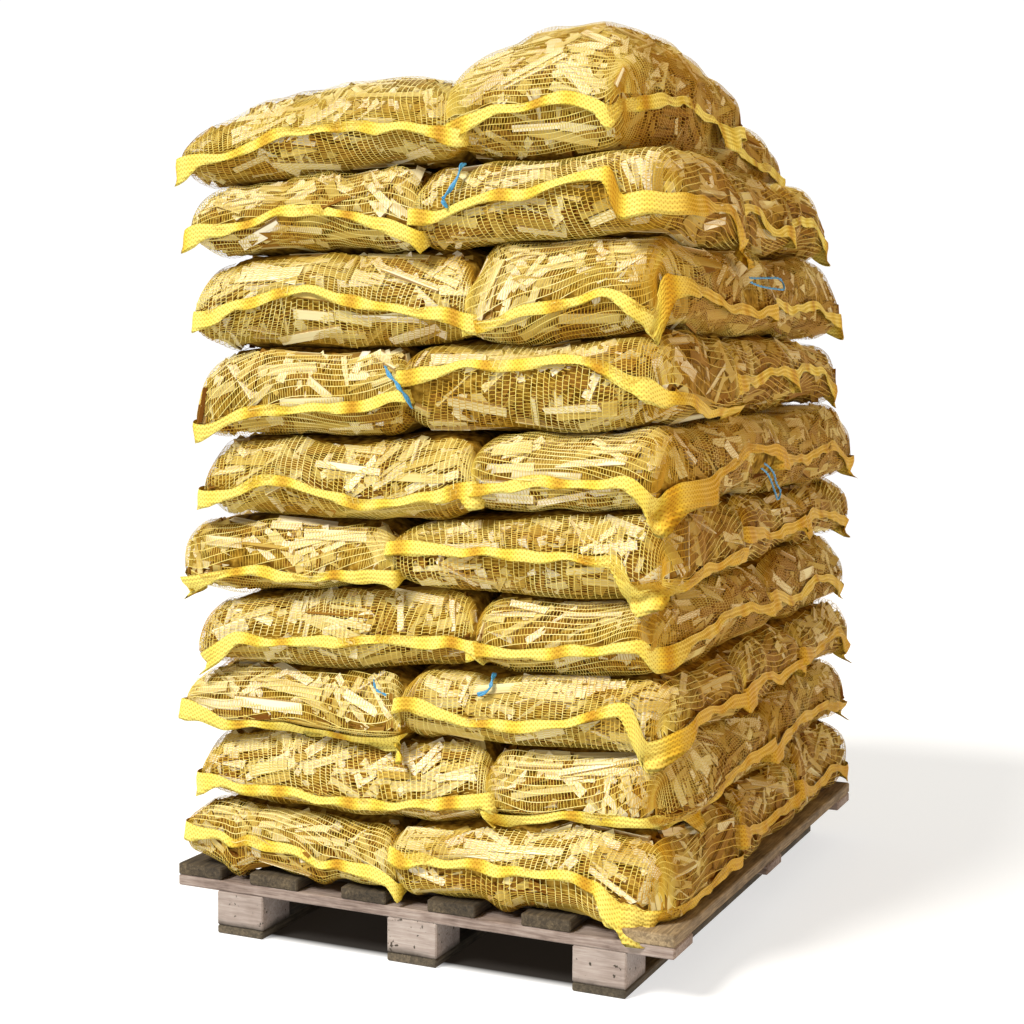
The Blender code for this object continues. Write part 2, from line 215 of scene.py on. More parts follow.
# A direction that no cord runs along, from which the strands' turn is counted.
STRAND_UPRIGHT = (0.13, 0.21, 1.0)
UV_SEAM = 0.6
DRAW_CORDS = {
    "draw_cord_top_front": (DOUBLED_CORD, "bare", (
        (0.0850, -0.570, 1.4275), (0.0820, -0.581, 1.4220), (0.0790, -0.588, 1.4040),
        (0.0740, -0.593, 1.3920), (0.0680, -0.597, 1.3800), (0.0610, -0.601, 1.3705),
        (0.0580, -0.604, 1.3640), (0.0600, -0.604, 1.3585), (0.0660, -0.600, 1.3495),
    )),
    "draw_cord_upper_side": (SINGLE_CORD, "object", (
        (0.4940, -0.224, 1.2325), (0.4955, -0.195, 1.2285), (0.4965, -0.159, 1.2260),
        (0.4975, -0.120, 1.2245), (0.4985, -0.085, 1.2240), (0.5000, -0.055, 1.2235),
        (0.5015, -0.034, 1.2235), (0.5005, -0.026, 1.2270), (0.4980, -0.023, 1.2335),
        (0.4955, -0.026, 1.2400), (0.4940, -0.034, 1.2435), (0.4925, -0.055, 1.2450),
        (0.4915, -0.085, 1.2440), (0.4905, -0.120, 1.2430), (0.4905, -0.160, 1.2415),
        (0.4905, -0.195, 1.2405), (0.4905, -0.220, 1.2405),
    )),
    "draw_cord_upper_front": (DOUBLED_CORD, "bare", (
        (-0.0620, -0.587, 1.0770), (-0.0570, -0.592, 1.0690), (-0.0480, -0.597, 1.0595),
        (-0.0390, -0.601, 1.0530), (-0.0310, -0.604, 1.0465), (-0.0240, -0.607, 1.0390),
        (-0.0180, -0.605, 1.0315), (-0.0130, -0.599, 1.0215), (-0.0100, -0.593, 1.0110),
        (-0.0070, -0.589, 1.0020),
    )),
    "draw_cord_middle_side": (SINGLE_CORD, "object", (
        (0.4965, -0.137, 0.8880), (0.4940, -0.100, 0.8790), (0.4910, -0.066, 0.8670),
        (0.4880, -0.038, 0.8540), (0.4850, -0.012, 0.8400), (0.4820, 0.012, 0.8280),
        (0.4790, 0.030, 0.8195), (0.4775, 0.039, 0.8155), (0.4770, 0.046, 0.8145),
        (0.4775, 0.052, 0.8170), (0.4790, 0.054, 0.8230), (0.4800, 0.052, 0.8290),
        (0.4815, 0.042, 0.8350), (0.4845, 0.015, 0.8440), (0.4875, -0.010, 0.8560),
        (0.4920, -0.035, 0.8690), (0.4945, -0.064, 0.8805), (0.4970, -0.098, 0.8900),
        (0.4995, -0.130, 0.8965),
    )),
    "draw_cord_middle_front": (DOUBLED_CORD, "bare", (
        (0.1450, -0.563, 0.5400), (0.1450, -0.571, 0.5335), (0.1460, -0.580, 0.5255),
        (0.1460, -0.584, 0.5185), (0.1430, -0.586, 0.5130), (0.1370, -0.588, 0.5080),
        (0.1290, -0.590, 0.5050), (0.1230, -0.590, 0.5030),
    )),
    "draw_cord_lower_front": (SINGLE_CORD, "bare", (
        (-0.0890, -0.579, 0.5115), (-0.0840, -0.586, 0.5025), (-0.0780, -0.590, 0.4950),
        (-0.0690, -0.592, 0.4910), (-0.0620, -0.592, 0.4890), (-0.0550, -0.593, 0.4865),
    )),
    "draw_cord_lower_side": (SINGLE_CORD, "bare", (
        (0.4840, 0.089, 0.3215), (0.4820, 0.103, 0.3160), (0.4795, 0.115, 0.3105),
        (0.4750, 0.135, 0.3000), (0.4720, 0.146, 0.2935),
    )),
}


def smooth_route(route, pitch):
    """Points about pitch apart on a Catmull-Rom curve: cubics blend four neighbouring route points a span."""
    points = np.array(route, float)
    ends = np.vstack((2 * points[0] - points[1], points, 2 * points[-1] - points[-2]))
    spans = []
    for a, b, c, d in zip(ends, ends[1:], ends[2:], ends[3:]):
        t = np.linspace(0.0, 1.0, max(2, round(np.linalg.norm(c - b) / pitch) + 1))[:-1, None]
        spans.append(
            0.5 * (2 * b + (c - a) * t + (2 * a - 5 * b + 4 * c - d) * t**2 + (3 * b - a - 3 * c + d) * t**3)
        )
    return np.vstack((*spans, points[-1]))


def unit(vectors):
    """Vectors scaled to length one; a vector of no length stays as it is."""
    return vectors / np.maximum(np.linalg.norm(vectors, axis=-1, keepdims=True), 1e-9)


def grid_faces(rows, columns, first=0, closed=False):
    """Quads between the neighbouring points of a grid of rows by columns, closed on itself across or not."""
    quads_across = columns if closed else columns - 1
    row, column = np.meshgrid(np.arange(rows - 1), np.arange(quads_across), indexing="ij")
    across = (column + 1) % columns
    row, next_row = row * columns, (row + 1) * columns
    quads = np.stack((row + column, row + across, next_row + across, next_row + column), -1)
    return quads.reshape(-1, 4) + first


def mesh_piece(name, verts, faces, material, uv=None, smooth=False):
    """A piece from arrays: faces all have the same number of corners, and uv has one pair for each corner."""
    mesh = bpy.data.meshes.new(name)
    mesh.vertices.add(len(verts))
    mesh.vertices.foreach_set("co", np.ascontiguousarray(verts, np.float32).ravel())
    mesh.loops.add(faces.size)
    mesh.loops.foreach_set("vertex_index", np.ascontiguousarray(faces, np.int32).ravel())
    mesh.polygons.add(len(faces))
    mesh.polygons.foreach_set("loop_start", np.arange(0, faces.size, faces.shape[1], dtype=np.int32))
    mesh.polygons.foreach_set("use_smooth", np.full(len(faces), smooth))
    mesh.update(calc_edges=True)
    if uv is not None:
        layer = mesh.uv_layers.new(name="OFBake")
        layer.uv.foreach_set("vector", np.ascontiguousarray(uv, np.float32).ravel())
    mesh.materials.append(material)
    piece = bpy.data.objects.new(name, mesh)
    bpy.context.collection.objects.link(piece)
    return piece


def place_piece(piece, node_name):
    """A piece rides with the stack and stands for a node, which is hidden."""
    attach(piece, "root")
    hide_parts(node_name)


def strand(line, radius, twist, turn):
    """Closed tape of flat oval section carried along a line, off its middle and twisting round it.

    Each ring's centre lies STRAND_OUT radii out along the turned side, and the ring is an ellipse of
    STRAND_HALF radii by STRAND_FLAT times that. The first and last rings shrink to close the ends.
    """
    tangent = unit(np.gradient(line, axis=0))
    side = unit(np.cross(tangent, STRAND_UPRIGHT))
    lift = np.cross(side, tangent)
    along = np.concatenate(([0.0], np.cumsum(np.linalg.norm(np.diff(line, axis=0), axis=1))))
    angle = (2 * math.pi * along / twist + turn)[:, None]
    across = np.cos(angle) * side + np.sin(angle) * lift
    thick = np.cos(angle) * lift - np.sin(angle) * side
    middle = line + across * radius * STRAND_OUT
    ring = np.linspace(0.0, 2 * math.pi, STRAND_SIDES, endpoint=False)[None, :, None]
    size = np.ones(len(line))
    size[[0, -1]] = STRAND_TIP
    wide = (radius * STRAND_HALF * size)[:, None, None] * np.cos(ring) * across[:, None]
    deep = (radius * STRAND_HALF * STRAND_FLAT * size)[:, None, None] * np.sin(ring) * thick[:, None]
    return (middle[:, None] + wide + deep).reshape(-1, 3), np.repeat(along / along[-1], STRAND_SIDES)


# Tape yarn is glossy drawn film, slit and twisted, so it shows lengthwise fibres that turn with the twist,
# with a pale painted highlight where the film catches light and deep blue painted shade in its folds.
# They are drawn about 1 mm wide, to show.
FIBRES = 9
TWISTS_DRAWN = 14
twine, twine_shader, add = new_material("twisted_polyolefin_tape", Roughness=0.38, IOR=1.49)
twine_xy = add("SeparateXYZ", {0: add("UVMap", uv_map="OFBake")}).outputs
twine_along = add("Math", {0: twine_xy[0], 1: TWISTS_DRAWN * 2 * math.pi}, operation="MULTIPLY")
twine_round = add("Math", {0: twine_xy[1], 1: FIBRES * 2 * math.pi, 2: twine_along}, operation="MULTIPLY_ADD")
twine_wave = add("Math", {0: twine_round}, operation="SINE")
twine_share = add("Math", {0: twine_wave, 1: 0.5, 2: 0.5}, operation="MULTIPLY_ADD")
twine_blue = add("ValToRGB", {0: twine_share}, ((0.0, "#0C4C84"), (0.45, "#2182BC"), (1.0, "#66BCE0")))
fill(twine_shader, {"Base Color": twine_blue})

cord_points = []
for cord_name, (cord_width, cord_end, cord_route) in DRAW_CORDS.items():
    cord_line = smooth_route(cord_route, CORD_STEP)
    strands = [strand(cord_line, cord_width / 2, TWIST_LENGTHS[cord_width], turn) for turn in (0.0, math.pi)]
    rings = len(cord_line)
    corners = np.arange(STRAND_SIDES)
    cap = np.stack((corners[1:-2:2] * 0, corners[1:-2:2], corners[2:-1:2], corners[3::2]), -1)
    starts = (0, rings * STRAND_SIDES)
    tubes = [grid_faces(rings, STRAND_SIDES, start, closed=True) for start in starts]
    caps = [face + start for start in starts for face in (cap[:, ::-1], cap + (rings - 1) * STRAND_SIDES)]
    cord_faces = np.vstack((*tubes, *caps))
    around = np.tile(corners / STRAND_SIDES, rings * 2)[cord_faces]
    around += around.max(1, keepdims=True) - around > UV_SEAM
    share = np.concatenate([share for verts, share in strands])[cord_faces]
    cord_verts = np.vstack([verts for verts, share in strands])
    tail = mesh_piece(cord_name.replace("draw_cord", "cord_tail"), cord_verts, cord_faces, twine,
                      np.stack((share, around), -1), smooth=True)
    place_piece(tail, cord_name)
    cord_points.append(cord_line[::3])
cord_points = np.vstack(cord_points)


# Sacks: knitted net bags, each with some 28 litres of split pine, stacked in ten layers of five. Two lie
# along and three across, turned on every other layer. Each is pressed by its neighbours into a squarish
# pillow, whose seam rises and falls with its edge band.
LAYERS = 10
DECK_BOARDS = 6
CLEAR = 0.0003
SEED = 41
# Heights of the gaps over the layers at the stack's left and right edge, and where each layer is parted.
GAP_LEFT = (0.243, 0.378, 0.512, 0.652, 0.784, 0.934, 1.100, 1.270, 1.404)
GAP_RIGHT = (0.283, 0.425, 0.552, 0.697, 0.832, 0.988, 1.136, 1.300, 1.458)
GAP_WAVES = ((0.0065, 0.61), (0.0050, 0.37), (0.0025, 0.19))
GAP_TURN = 2.4
GAP_WAVE_TURN = 1.9
GAP_PHASE = 1.7
DECK_SAG = 0.020
HALVING = (-0.036, 0.140, -0.030, 0.110, -0.045, 0.110, -0.024, 0.105, 0.005, 0.082)
DRAWN_IN = (0.0, 0.0, 0.0, 0.01, 0.01, 0.01, 0.05, 0.05, 0.09, 0.17)
# Heights of the top sacks, which have nothing on them, and how round they are.
CROWNS_LEFT = (1.590, 1.570, 1.560)
CROWNS_RIGHT = (1.680, 1.600)
CROWN_RISE = 0.030
DOME_POWER = 2.2
# A pillow's plan, its sides' run in plan up to the flat, and its fullness.
PRESS = 0.016
PULL_IN = 0.012
PLAN_ROUND = 0.012
PLAN_POWER = 6
RIGHT_ROUND = 0.050
RIGHT_POWER = 3.5
ROUND_OUTER = 0.088
ROUND_INNER = 0.078
SHOULDER_PLACES = 24
PLUMP = 1.08
SQUARENESS = 0.86
SETTLED = 0.55
CORNER_FILL = 1.6
SEAM_FOLLOWS = 0.75
SEAM_RANGE = (0.22, 0.74)
SEAM_NEARNESS = 0.01
# The skin's lumps, and the room that it leaves for the net and the cords.
SKIN_IN = 0.0045
SKIN_STEP = 0.004
LUMP_SIZES = (0.0028, 0.0026, 0.0022, 0.0016)
LUMP_WAVES = (0.21, 0.15, 0.10, 0.07)
CORD_ROOM = 0.0100
CORD_REACH = 0.024
CORD_NEAR = 0.08
# Layers whose upper faces show at the right, because the layer over them is drawn in there.
LEDGE = 0.130
LEDGE_LAYERS = (6, 8, 9)

# Where the front sacks' edge bands run, a line for each layer from the lowest: places round the sack (-1 to
# 0 its left side, 0 to 1 its front, 1 to 2 its right side), each with the band's share of the sack's height.
BAND_COURSES = {
    "left_front": (
        ((-1.0, 0.40), (-0.4, 0.55), (0.02, 0.52), (0.35, 0.48), (0.72, 0.36), (1.0, 0.18)),
        ((-1.0, 0.30), (-0.5, 0.35), (0.01, 0.28), (0.30, 0.22), (0.60, 0.22), (1.0, 0.34)),
        ((-1.0, 0.45), (-0.3, 0.50), (0.01, 0.42), (0.22, 0.18), (0.50, 0.06), (1.0, 0.02)),
        ((-1.0, 0.35), (-0.3, 0.20), (0.01, 0.08), (0.18, 0.36), (0.60, 0.38), (1.0, 0.34)),
        ((-1.0, 0.45), (-0.4, 0.25), (0.01, 0.04), (0.30, 0.29), (0.70, 0.18), (1.0, 0.20)),
        ((-1.0, 0.30), (-0.4, 0.35), (0.01, 0.25), (0.33, 0.47), (0.60, 0.24), (1.0, 0.34)),
        ((-1.0, 0.42), (-0.4, 0.25), (0.02, 0.12), (0.30, 0.26), (0.60, 0.35), (1.0, 0.44)),
        ((-1.0, 0.30), (-0.3, 0.34), (0.01, 0.32), (0.42, 0.58), (0.70, 0.42), (1.0, 0.24)),
        ((-1.0, 0.45), (-0.3, 0.38), (0.02, 0.28), (0.53, 0.49), (0.80, 0.32), (1.0, 0.14)),
        ((-1.0, 0.25), (-0.3, 0.26), (0.01, 0.21), (0.47, 0.43), (0.75, 0.34), (1.0, 0.20)),
    ),
    "right_front": (
        ((0.0, 0.58), (0.40, 0.52), (0.72, 0.46), (0.84, 0.20), (0.95, 0.08), (1.3, 0.12), (1.9, 0.20)),
        ((0.0, 0.06), (0.50, 0.14), (0.95, 0.12), (1.10, 0.06), (1.33, 0.02), (1.6, 0.30), (1.94, 0.45)),
        ((0.0, 0.56), (0.38, 0.31), (0.60, 0.40), (0.80, 0.64), (0.93, 0.10), (1.3, 0.30), (1.84, 0.30)),
        ((0.0, 0.26), (0.40, 0.33), (0.83, 0.40), (0.98, 0.25), (1.20, 0.38), (1.6, 0.48), (1.95, 0.35)),
        ((0.0, 0.66), (0.40, 0.56), (0.77, 0.49), (0.87, 0.05), (0.95, 0.06), (1.5, 0.22), (1.95, 0.20)),
        ((0.0, 0.34), (0.40, 0.39), (0.70, 0.37), (0.945, 0.08), (1.10, 0.25), (1.70, 0.58), (1.95, 0.5)),
        ((0.0, 0.64), (0.30, 0.76), (0.64, 0.80), (0.90, 0.42), (1.05, 0.30), (1.50, 0.12), (1.85, 0.06)),
        ((0.0, 0.16), (0.40, 0.34), (0.64, 0.41), (0.94, 0.12), (1.06, 0.50), (1.62, 0.30), (1.95, 0.25)),
        ((0.0, 0.36), (0.40, 0.55), (0.72, 0.68), (0.80, 0.36), (1.0, 0.38), (1.68, 0.38), (1.95, 0.08)),
        ((0.0, 0.18), (0.30, 0.31), (0.58, 0.38), (0.87, 0.24), (1.0, 0.32), (1.39, 0.40), (1.9, 0.30)),
    ),
}
BAND_MIDDLE = (0.28, 0.56)
BAND_CORNER = (0.04, 0.22)
# Where the outer sides of a sack at each place start and end, in turns from its front left corner.
PLACE_TURNS = {
    "left_front": (-1, 1), "left_middle": (-1, 0), "left_back": (-2, 0),
    "right_front": (0, 2), "right_middle": (1, 2), "right_back": (1, 3),
}


def gap_height(level, x, y):
    """Height of the gap over a layer: a plane from its left to its right height, plus sines of x and y.

    Level 0 is the pallet's deck: flat on the boards, and sagging as a squared sine between each two.
    """
    if level == 0:
        height = np.full(np.shape(x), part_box("deck_board_1")[1].z + CLEAR / 2)
        for number in range(1, DECK_BOARDS):
            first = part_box(f"deck_board_{number}")[1].x
            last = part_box(f"deck_board_{number + 1}")[0].x
            share = np.clip((x - first) / (last - first), 0.0, 1.0)
            height = height - DECK_SAG * np.sin(math.pi * share) ** 2
        return height
    left, right = GAP_LEFT[level - 1], GAP_RIGHT[level - 1]
    height = left + (right - left) * (x + 0.5)
    for number, (size, wave) in enumerate(GAP_WAVES):
        heading = GAP_TURN * level + GAP_WAVE_TURN * number
        reach = 2 * math.pi / wave
        phase = GAP_PHASE * level
        height = height + size * np.sin(reach * (x * math.cos(heading) + y * math.sin(heading)) + phase)
    return height


def spans(low, high, count):
    """Equal shares of a length, each pressed a little into its neighbours."""
    step = (high - low) / count
    return [
        (low + k * step - PRESS * (k > 0), low + (k + 1) * step + PRESS * (k < count - 1))
        for k in range(count)
    ]


def make_sack(layer, place, x, y, crown=None, rise=0.0):
    """One sack's plan, crown, rounded sides, band course, lumps and shoulders; crown is None under a sack."""
    rng = np.random.default_rng(SEED + 100 * layer + sorted(PLACE_TURNS).index(place))
    start, end = PLACE_TURNS[place]
    outer = {turn % 4 for turn in range(start, end)}
    if place in BAND_COURSES:
        course = BAND_COURSES[place][layer - 1]
    else:
        places = np.linspace(start, end, 3 * (end - start) + 1)
        share = rng.uniform(*BAND_MIDDLE, len(places))
        corner = np.isclose(places % 1, 0) & (places > start) & (places < end)
        share = np.where(corner, rng.uniform(*BAND_CORNER), share)
        course = tuple(zip(places, share))
    waves = unit(rng.normal(size=(len(LUMP_WAVES), 3))) * (2 * math.pi / np.array(LUMP_WAVES))[:, None]
    sack = SimpleNamespace(
        x=x, y=y, width=x[1] - x[0], depth=y[1] - y[0], crown=crown, rise=rise,
        rounds=tuple(ROUND_OUTER if side in outer else ROUND_INNER for side in (3, 1, 0, 2)),
        outer=outer, start=start, end=end, course=np.array(course, float), waves=waves,
        phases=rng.uniform(0, 2 * math.pi, len(LUMP_WAVES)), rng=rng, place=place, layer=layer,
    )
    across, along = outline_of(np.linspace(start, end, SHOULDER_PLACES))
    low, high, seam = levels(sack, x[0] + across * sack.width, y[0] + along * sack.depth, across, along)
    sack.shoulders = (float(np.mean(seam - low)), float(np.mean(high - seam)))
    sack.ledge = LEDGE if layer in LEDGE_LAYERS and place.startswith("right") else 0.0
    return sack


def layer_sacks(layer):
    """The five sacks of a layer: two along and three across, turned on every other layer."""
    low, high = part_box(f"sack_layer_{layer:02d}")
    middle = HALVING[layer - 1]
    rows = {2: ("front", "back"), 3: ("front", "middle", "back")}
    left_count = 2 if layer % 2 else 3
    right_count = 5 - left_count
    top = layer == LAYERS
    crowns = (CROWNS_LEFT, CROWNS_RIGHT) if top else ((None,) * left_count, (None,) * right_count)
    left_x = (low.x, middle + PRESS)
    left_rise = CROWN_RISE if top else 0.0
    sacks = []
    for row, span, crown in zip(rows[left_count], spans(low.y, high.y, left_count), crowns[0]):
        sacks.append(make_sack(layer, f"left_{row}", left_x, span, crown, left_rise))
    for row, span, crown in zip(rows[right_count], spans(low.y, high.y, right_count), crowns[1]):
        drawn = DRAWN_IN[layer - 1] * (sum(span) / 2 - low.y) / (high.y - low.y)
        right_x = (middle - PRESS - drawn / 2, high.x - drawn)
        sacks.append(make_sack(layer, f"right_{row}", right_x, span, crown))
    return sacks


def quarter(run, rise):
    """Length of a quarter ellipse of run by rise, by its root mean square radius."""
    return math.pi / 2 * np.sqrt((run**2 + rise**2) / 2)


def arc_sizes(sack, side):
    """Lengths in x and y over a sack's upper (side 1) or lower (-1) panel: its rounded sides and its flat."""
    left, right, front, back = sack.rounds
    rise = np.where(np.asarray(side) > 0, sack.shoulders[1], sack.shoulders[0])
    return (
        quarter(left, rise) + quarter(right, rise) + sack.width - left - right,
        quarter(front, rise) + quarter(back, rise) + sack.depth - front - back,
    )


def profile(place, size, near, far, rise):
    """Inset and fullness at a distance over a panel: squarish quarter curve up, flat, and the same down.

    The curve is a superellipse: its sine and cosine are both raised to the power SQUARENESS.
    """
    flat = size - near - far
    up = np.clip(place / quarter(near, rise), 0.0, 1.0) * math.pi / 2
    down = np.clip((place - quarter(near, rise) - flat) / quarter(far, rise), 0.0, 1.0) * math.pi / 2
    inset = near * (1 - np.cos(up) ** SQUARENESS) + np.clip(place - quarter(near, rise), 0.0, flat)
    inset = inset + far * np.sin(down) ** SQUARENESS
    return inset, np.minimum(np.sin(up), np.cos(down)) ** SQUARENESS


def dome(share):
    """Fullness over a whole width, from -1 to 1: (1 - |share|^p)^(1/p), for a sack with nothing on top."""
    return np.maximum(1 - np.abs(share) ** DOME_POWER, 0.0) ** (1 / DOME_POWER)


def folded(place, old_size, new_size, near, far, old_rise, new_rise):
    """A distance over one panel as the distance of the same inset over the other; past a seam it folds."""
    first, last = quarter(near, old_rise), quarter(far, old_rise)
    flat = old_size - first - last
    within = np.clip(place, 0.0, first) * quarter(near, new_rise) / first
    within = within + np.clip(place - first, 0.0, flat)
    within = within + np.clip(place - first - flat, 0.0, last) * quarter(far, new_rise) / last
    return np.where(place < 0, -place, np.where(place > old_size, new_size - (place - old_size), within))


def smooth_steps(place, points):
    """Value at a place between given (place, value) points, eased from each to the next by 3t^2 - 2t^3."""
    known, values = points.T
    index = np.clip(np.searchsorted(known, place) - 1, 0, len(known) - 2)
    t = np.clip((place - known[index]) / (known[index + 1] - known[index]), 0.0, 1.0)
    return values[index] + (values[index + 1] - values[index]) * t * t * (3 - 2 * t)


def band_share(sack, turn):
    """Height of the edge band, as a share of the sack's, at a turn round it; ends carry on unchanged."""
    first = (sack.start + sack.end) / 2 - 2
    return smooth_steps(first + (turn - first) % 4, sack.course)


def seam_share(sack, across, along):
    """Height of the widest line as a share of the sack's: the four sides' bands, weighed by nearness."""
    sides = (
        (along * sack.depth, band_share(sack, across)),
        ((1 - across) * sack.width, band_share(sack, 1 + along)),
        ((1 - along) * sack.depth, band_share(sack, 3 - across)),
        (across * sack.width, band_share(sack, 4 - along)),
    )
    weights = [1 / (distance + SEAM_NEARNESS) ** 2 for distance, share in sides]
    share = sum(w * s for w, (distance, s) in zip(weights, sides)) / sum(weights)
    return np.clip(0.5 + SEAM_FOLLOWS * (share - 0.5), *SEAM_RANGE)


def outline_of(turn):
    """Shares of a sack's width and depth at a turn round it, 0 to 1 along its front, 1 to 2 its right."""
    side, t = np.floor(turn).astype(int) % 4, turn % 1
    across = np.choose(side, (t, np.ones_like(t), 1 - t, np.zeros_like(t)))
    along = np.choose(side, (np.zeros_like(t), t, np.ones_like(t), 1 - t))
    return across, along


def levels(sack, x, y, across, along):
    """Floor, ceiling and seam heights under, over and round a place of the sack."""
    low = gap_height(sack.layer - 1, x, y)
    if sack.crown is None:
        high = gap_height(sack.layer, x, y)
    else:
        high = sack.crown + sack.rise * (2 * across - 1)
    return low, high, low + seam_share(sack, across, along) * (high - low)


def pulled_in(sack, across, along, rounding=PLAN_ROUND):
    """x and y at shares of the outline: its sides bow in, and powers of u v round its corners."""
    u, v = 2 * across - 1, 2 * along - 1
    x = sack.x[0] + across * sack.width - PULL_IN * u * np.abs(u) * (1 - v**2)
    y = sack.y[0] + along * sack.depth - PULL_IN * v * np.abs(v) * (1 - u**2)
    free = (sack.place == "right_front") & (u > 0) & (v < 0)
    free_corner = RIGHT_ROUND * np.abs(u * v) ** RIGHT_POWER
    corner = np.where(free, free_corner, rounding * np.abs(u * v) ** PLAN_POWER)
    return x - corner * np.sign(u), y - corner * np.sign(v)


def skin(sack, a, b, side):
    """Point of the pillow at distances a and b over a panel: seam height plus half height times fullness.

    Both ways' fullnesses f and g are joined as (f^-k + g^-k - 1)^(-1/k), which keeps the corners well filled.
    A top sack's upper panel takes its fullnesses from the dome, and a bottom sack's lower panel is settled:
    its fullness is raised to the power SETTLED. side is 1 on the upper panel and -1 on the lower. Past the
    seam a place folds over to the other panel.
    """
    wide, deep = arc_sizes(sack, side)
    rise = np.where(side > 0, sack.shoulders[1], sack.shoulders[0])
    side = side * np.where((a < 0) | (a > wide), -1, 1) * np.where((b < 0) | (b > deep), -1, 1)
    new_wide, new_deep = arc_sizes(sack, side)
    new_rise = np.where(side > 0, sack.shoulders[1], sack.shoulders[0])
    left, right, front, back = sack.rounds
    a = folded(a, wide, new_wide, left, right, rise, new_rise)
    b = folded(b, deep, new_deep, front, back, rise, new_rise)
    inset_x, full_x = profile(a, sack.width, left, right, new_rise)
    inset_y, full_y = profile(b, sack.depth, front, back, new_rise)
    across, along = inset_x / sack.width, inset_y / sack.depth
    x, y = pulled_in(sack, across, along)
    low, high, seam = levels(sack, x, y, across, along)
    half = np.where(side > 0, high - seam, seam - low)
    if sack.crown is not None:
        full_x = np.where(side > 0, dome(2 * across - 1), full_x)
        full_y = np.where(side > 0, dome(2 * along - 1), full_y)
    full = np.maximum(full_x, 1e-4) ** -CORNER_FILL + np.maximum(full_y, 1e-4) ** -CORNER_FILL - 1
    full = PLUMP * full ** (-1 / CORNER_FILL)
    if sack.layer == 1:
        full = np.where(side < 0, full**SETTLED, full)
    z = seam + side * half * np.minimum(full, 1.0)
    return np.stack((x, y, z), -1)


def dressed(sack, a, b, side, depth=0.0):
    """Skin with its lumps and room for the cords, moved in by depth, and its outward normal.

    The normal is the cross product of the skin's slopes over a and b. Lumps are a sum of sines in space.
    """
    here = skin(sack, a, b, side)
    normal = np.cross(
        skin(sack, a + SKIN_STEP, b, side) - skin(sack, a - SKIN_STEP, b, side),
        skin(sack, a, b + SKIN_STEP, side) - skin(sack, a, b - SKIN_STEP, side),
    )
    normal = unit(normal) * np.reshape(side, np.shape(side) + (1,))
    lump = sum(
        size * np.sin(here @ wave + phase) for size, wave, phase in zip(LUMP_SIZES, sack.waves, sack.phases)
    )
    axes = tuple(range(here.ndim - 1))
    beside = (cord_points > here.min(axes) - CORD_NEAR) & (cord_points < here.max(axes) + CORD_NEAR)
    near = cord_points[np.all(beside, axis=1)]
    room = 0.0
    if len(near):
        apart = np.min([np.linalg.norm(here - point, axis=-1) for point in near], axis=0)
        room = CORD_ROOM * np.exp(-((apart / CORD_REACH) ** 2))
    return here + normal * (lump - SKIN_IN - room - depth)[..., None], normal


def outer_distance(sack, a, b, side):
    """Distance over the panel from a place to the nearest seam that faces out of the stack."""
    wide, deep = arc_sizes(sack, side)
    reach = {0: b, 1: wide - a, 2: deep - b, 3: a}
    return np.min([reach[turn] for turn in sack.outer], axis=0)


all_layers = {layer: layer_sacks(layer) for layer in range(1, LAYERS + 1)}


# Heart of the load: the pine sticks in deep shade behind the outer ones, seen only as brown between them.
# That brown is painted shade. The sticks are loose in the net, so the heart is one pillow for each sack,
# filled from seam to seam.
HEART_COLUMNS = 15
HEART_DEPTH = 0.020
HEART_IN = 0.011
HEART_KEPT = 0.985
CORNER_KEPT = 0.70
CORNER_NEAR = 4.0
HEART_FADE = (0.050, 0.125)
HEART_GRAIN_MM = 16.0
heart_wood, heart_shader, add = new_material("shaded_pine_kindling", Roughness=0.9, Specular_IOR_Level=0.05)
heart_grain = add("TexNoise", {
    "Vector": add("TexCoord").outputs["Object"], "Scale": 1000 / HEART_GRAIN_MM, "Detail": 3.0})
# Painted shade: the heart's browns stand for sticks lying deep in shade.
heart_brown = add("ValToRGB", {0: heart_grain}, ((0.35, "#5C400E"), (0.55, "#947022"), (0.75, "#C4A044")))
heart_bump = add("Bump", {"Height": heart_grain, "Strength": 0.6, "Distance": 0.004})
fill(heart_shader, {"Base Color": heart_brown, "Normal": heart_bump})


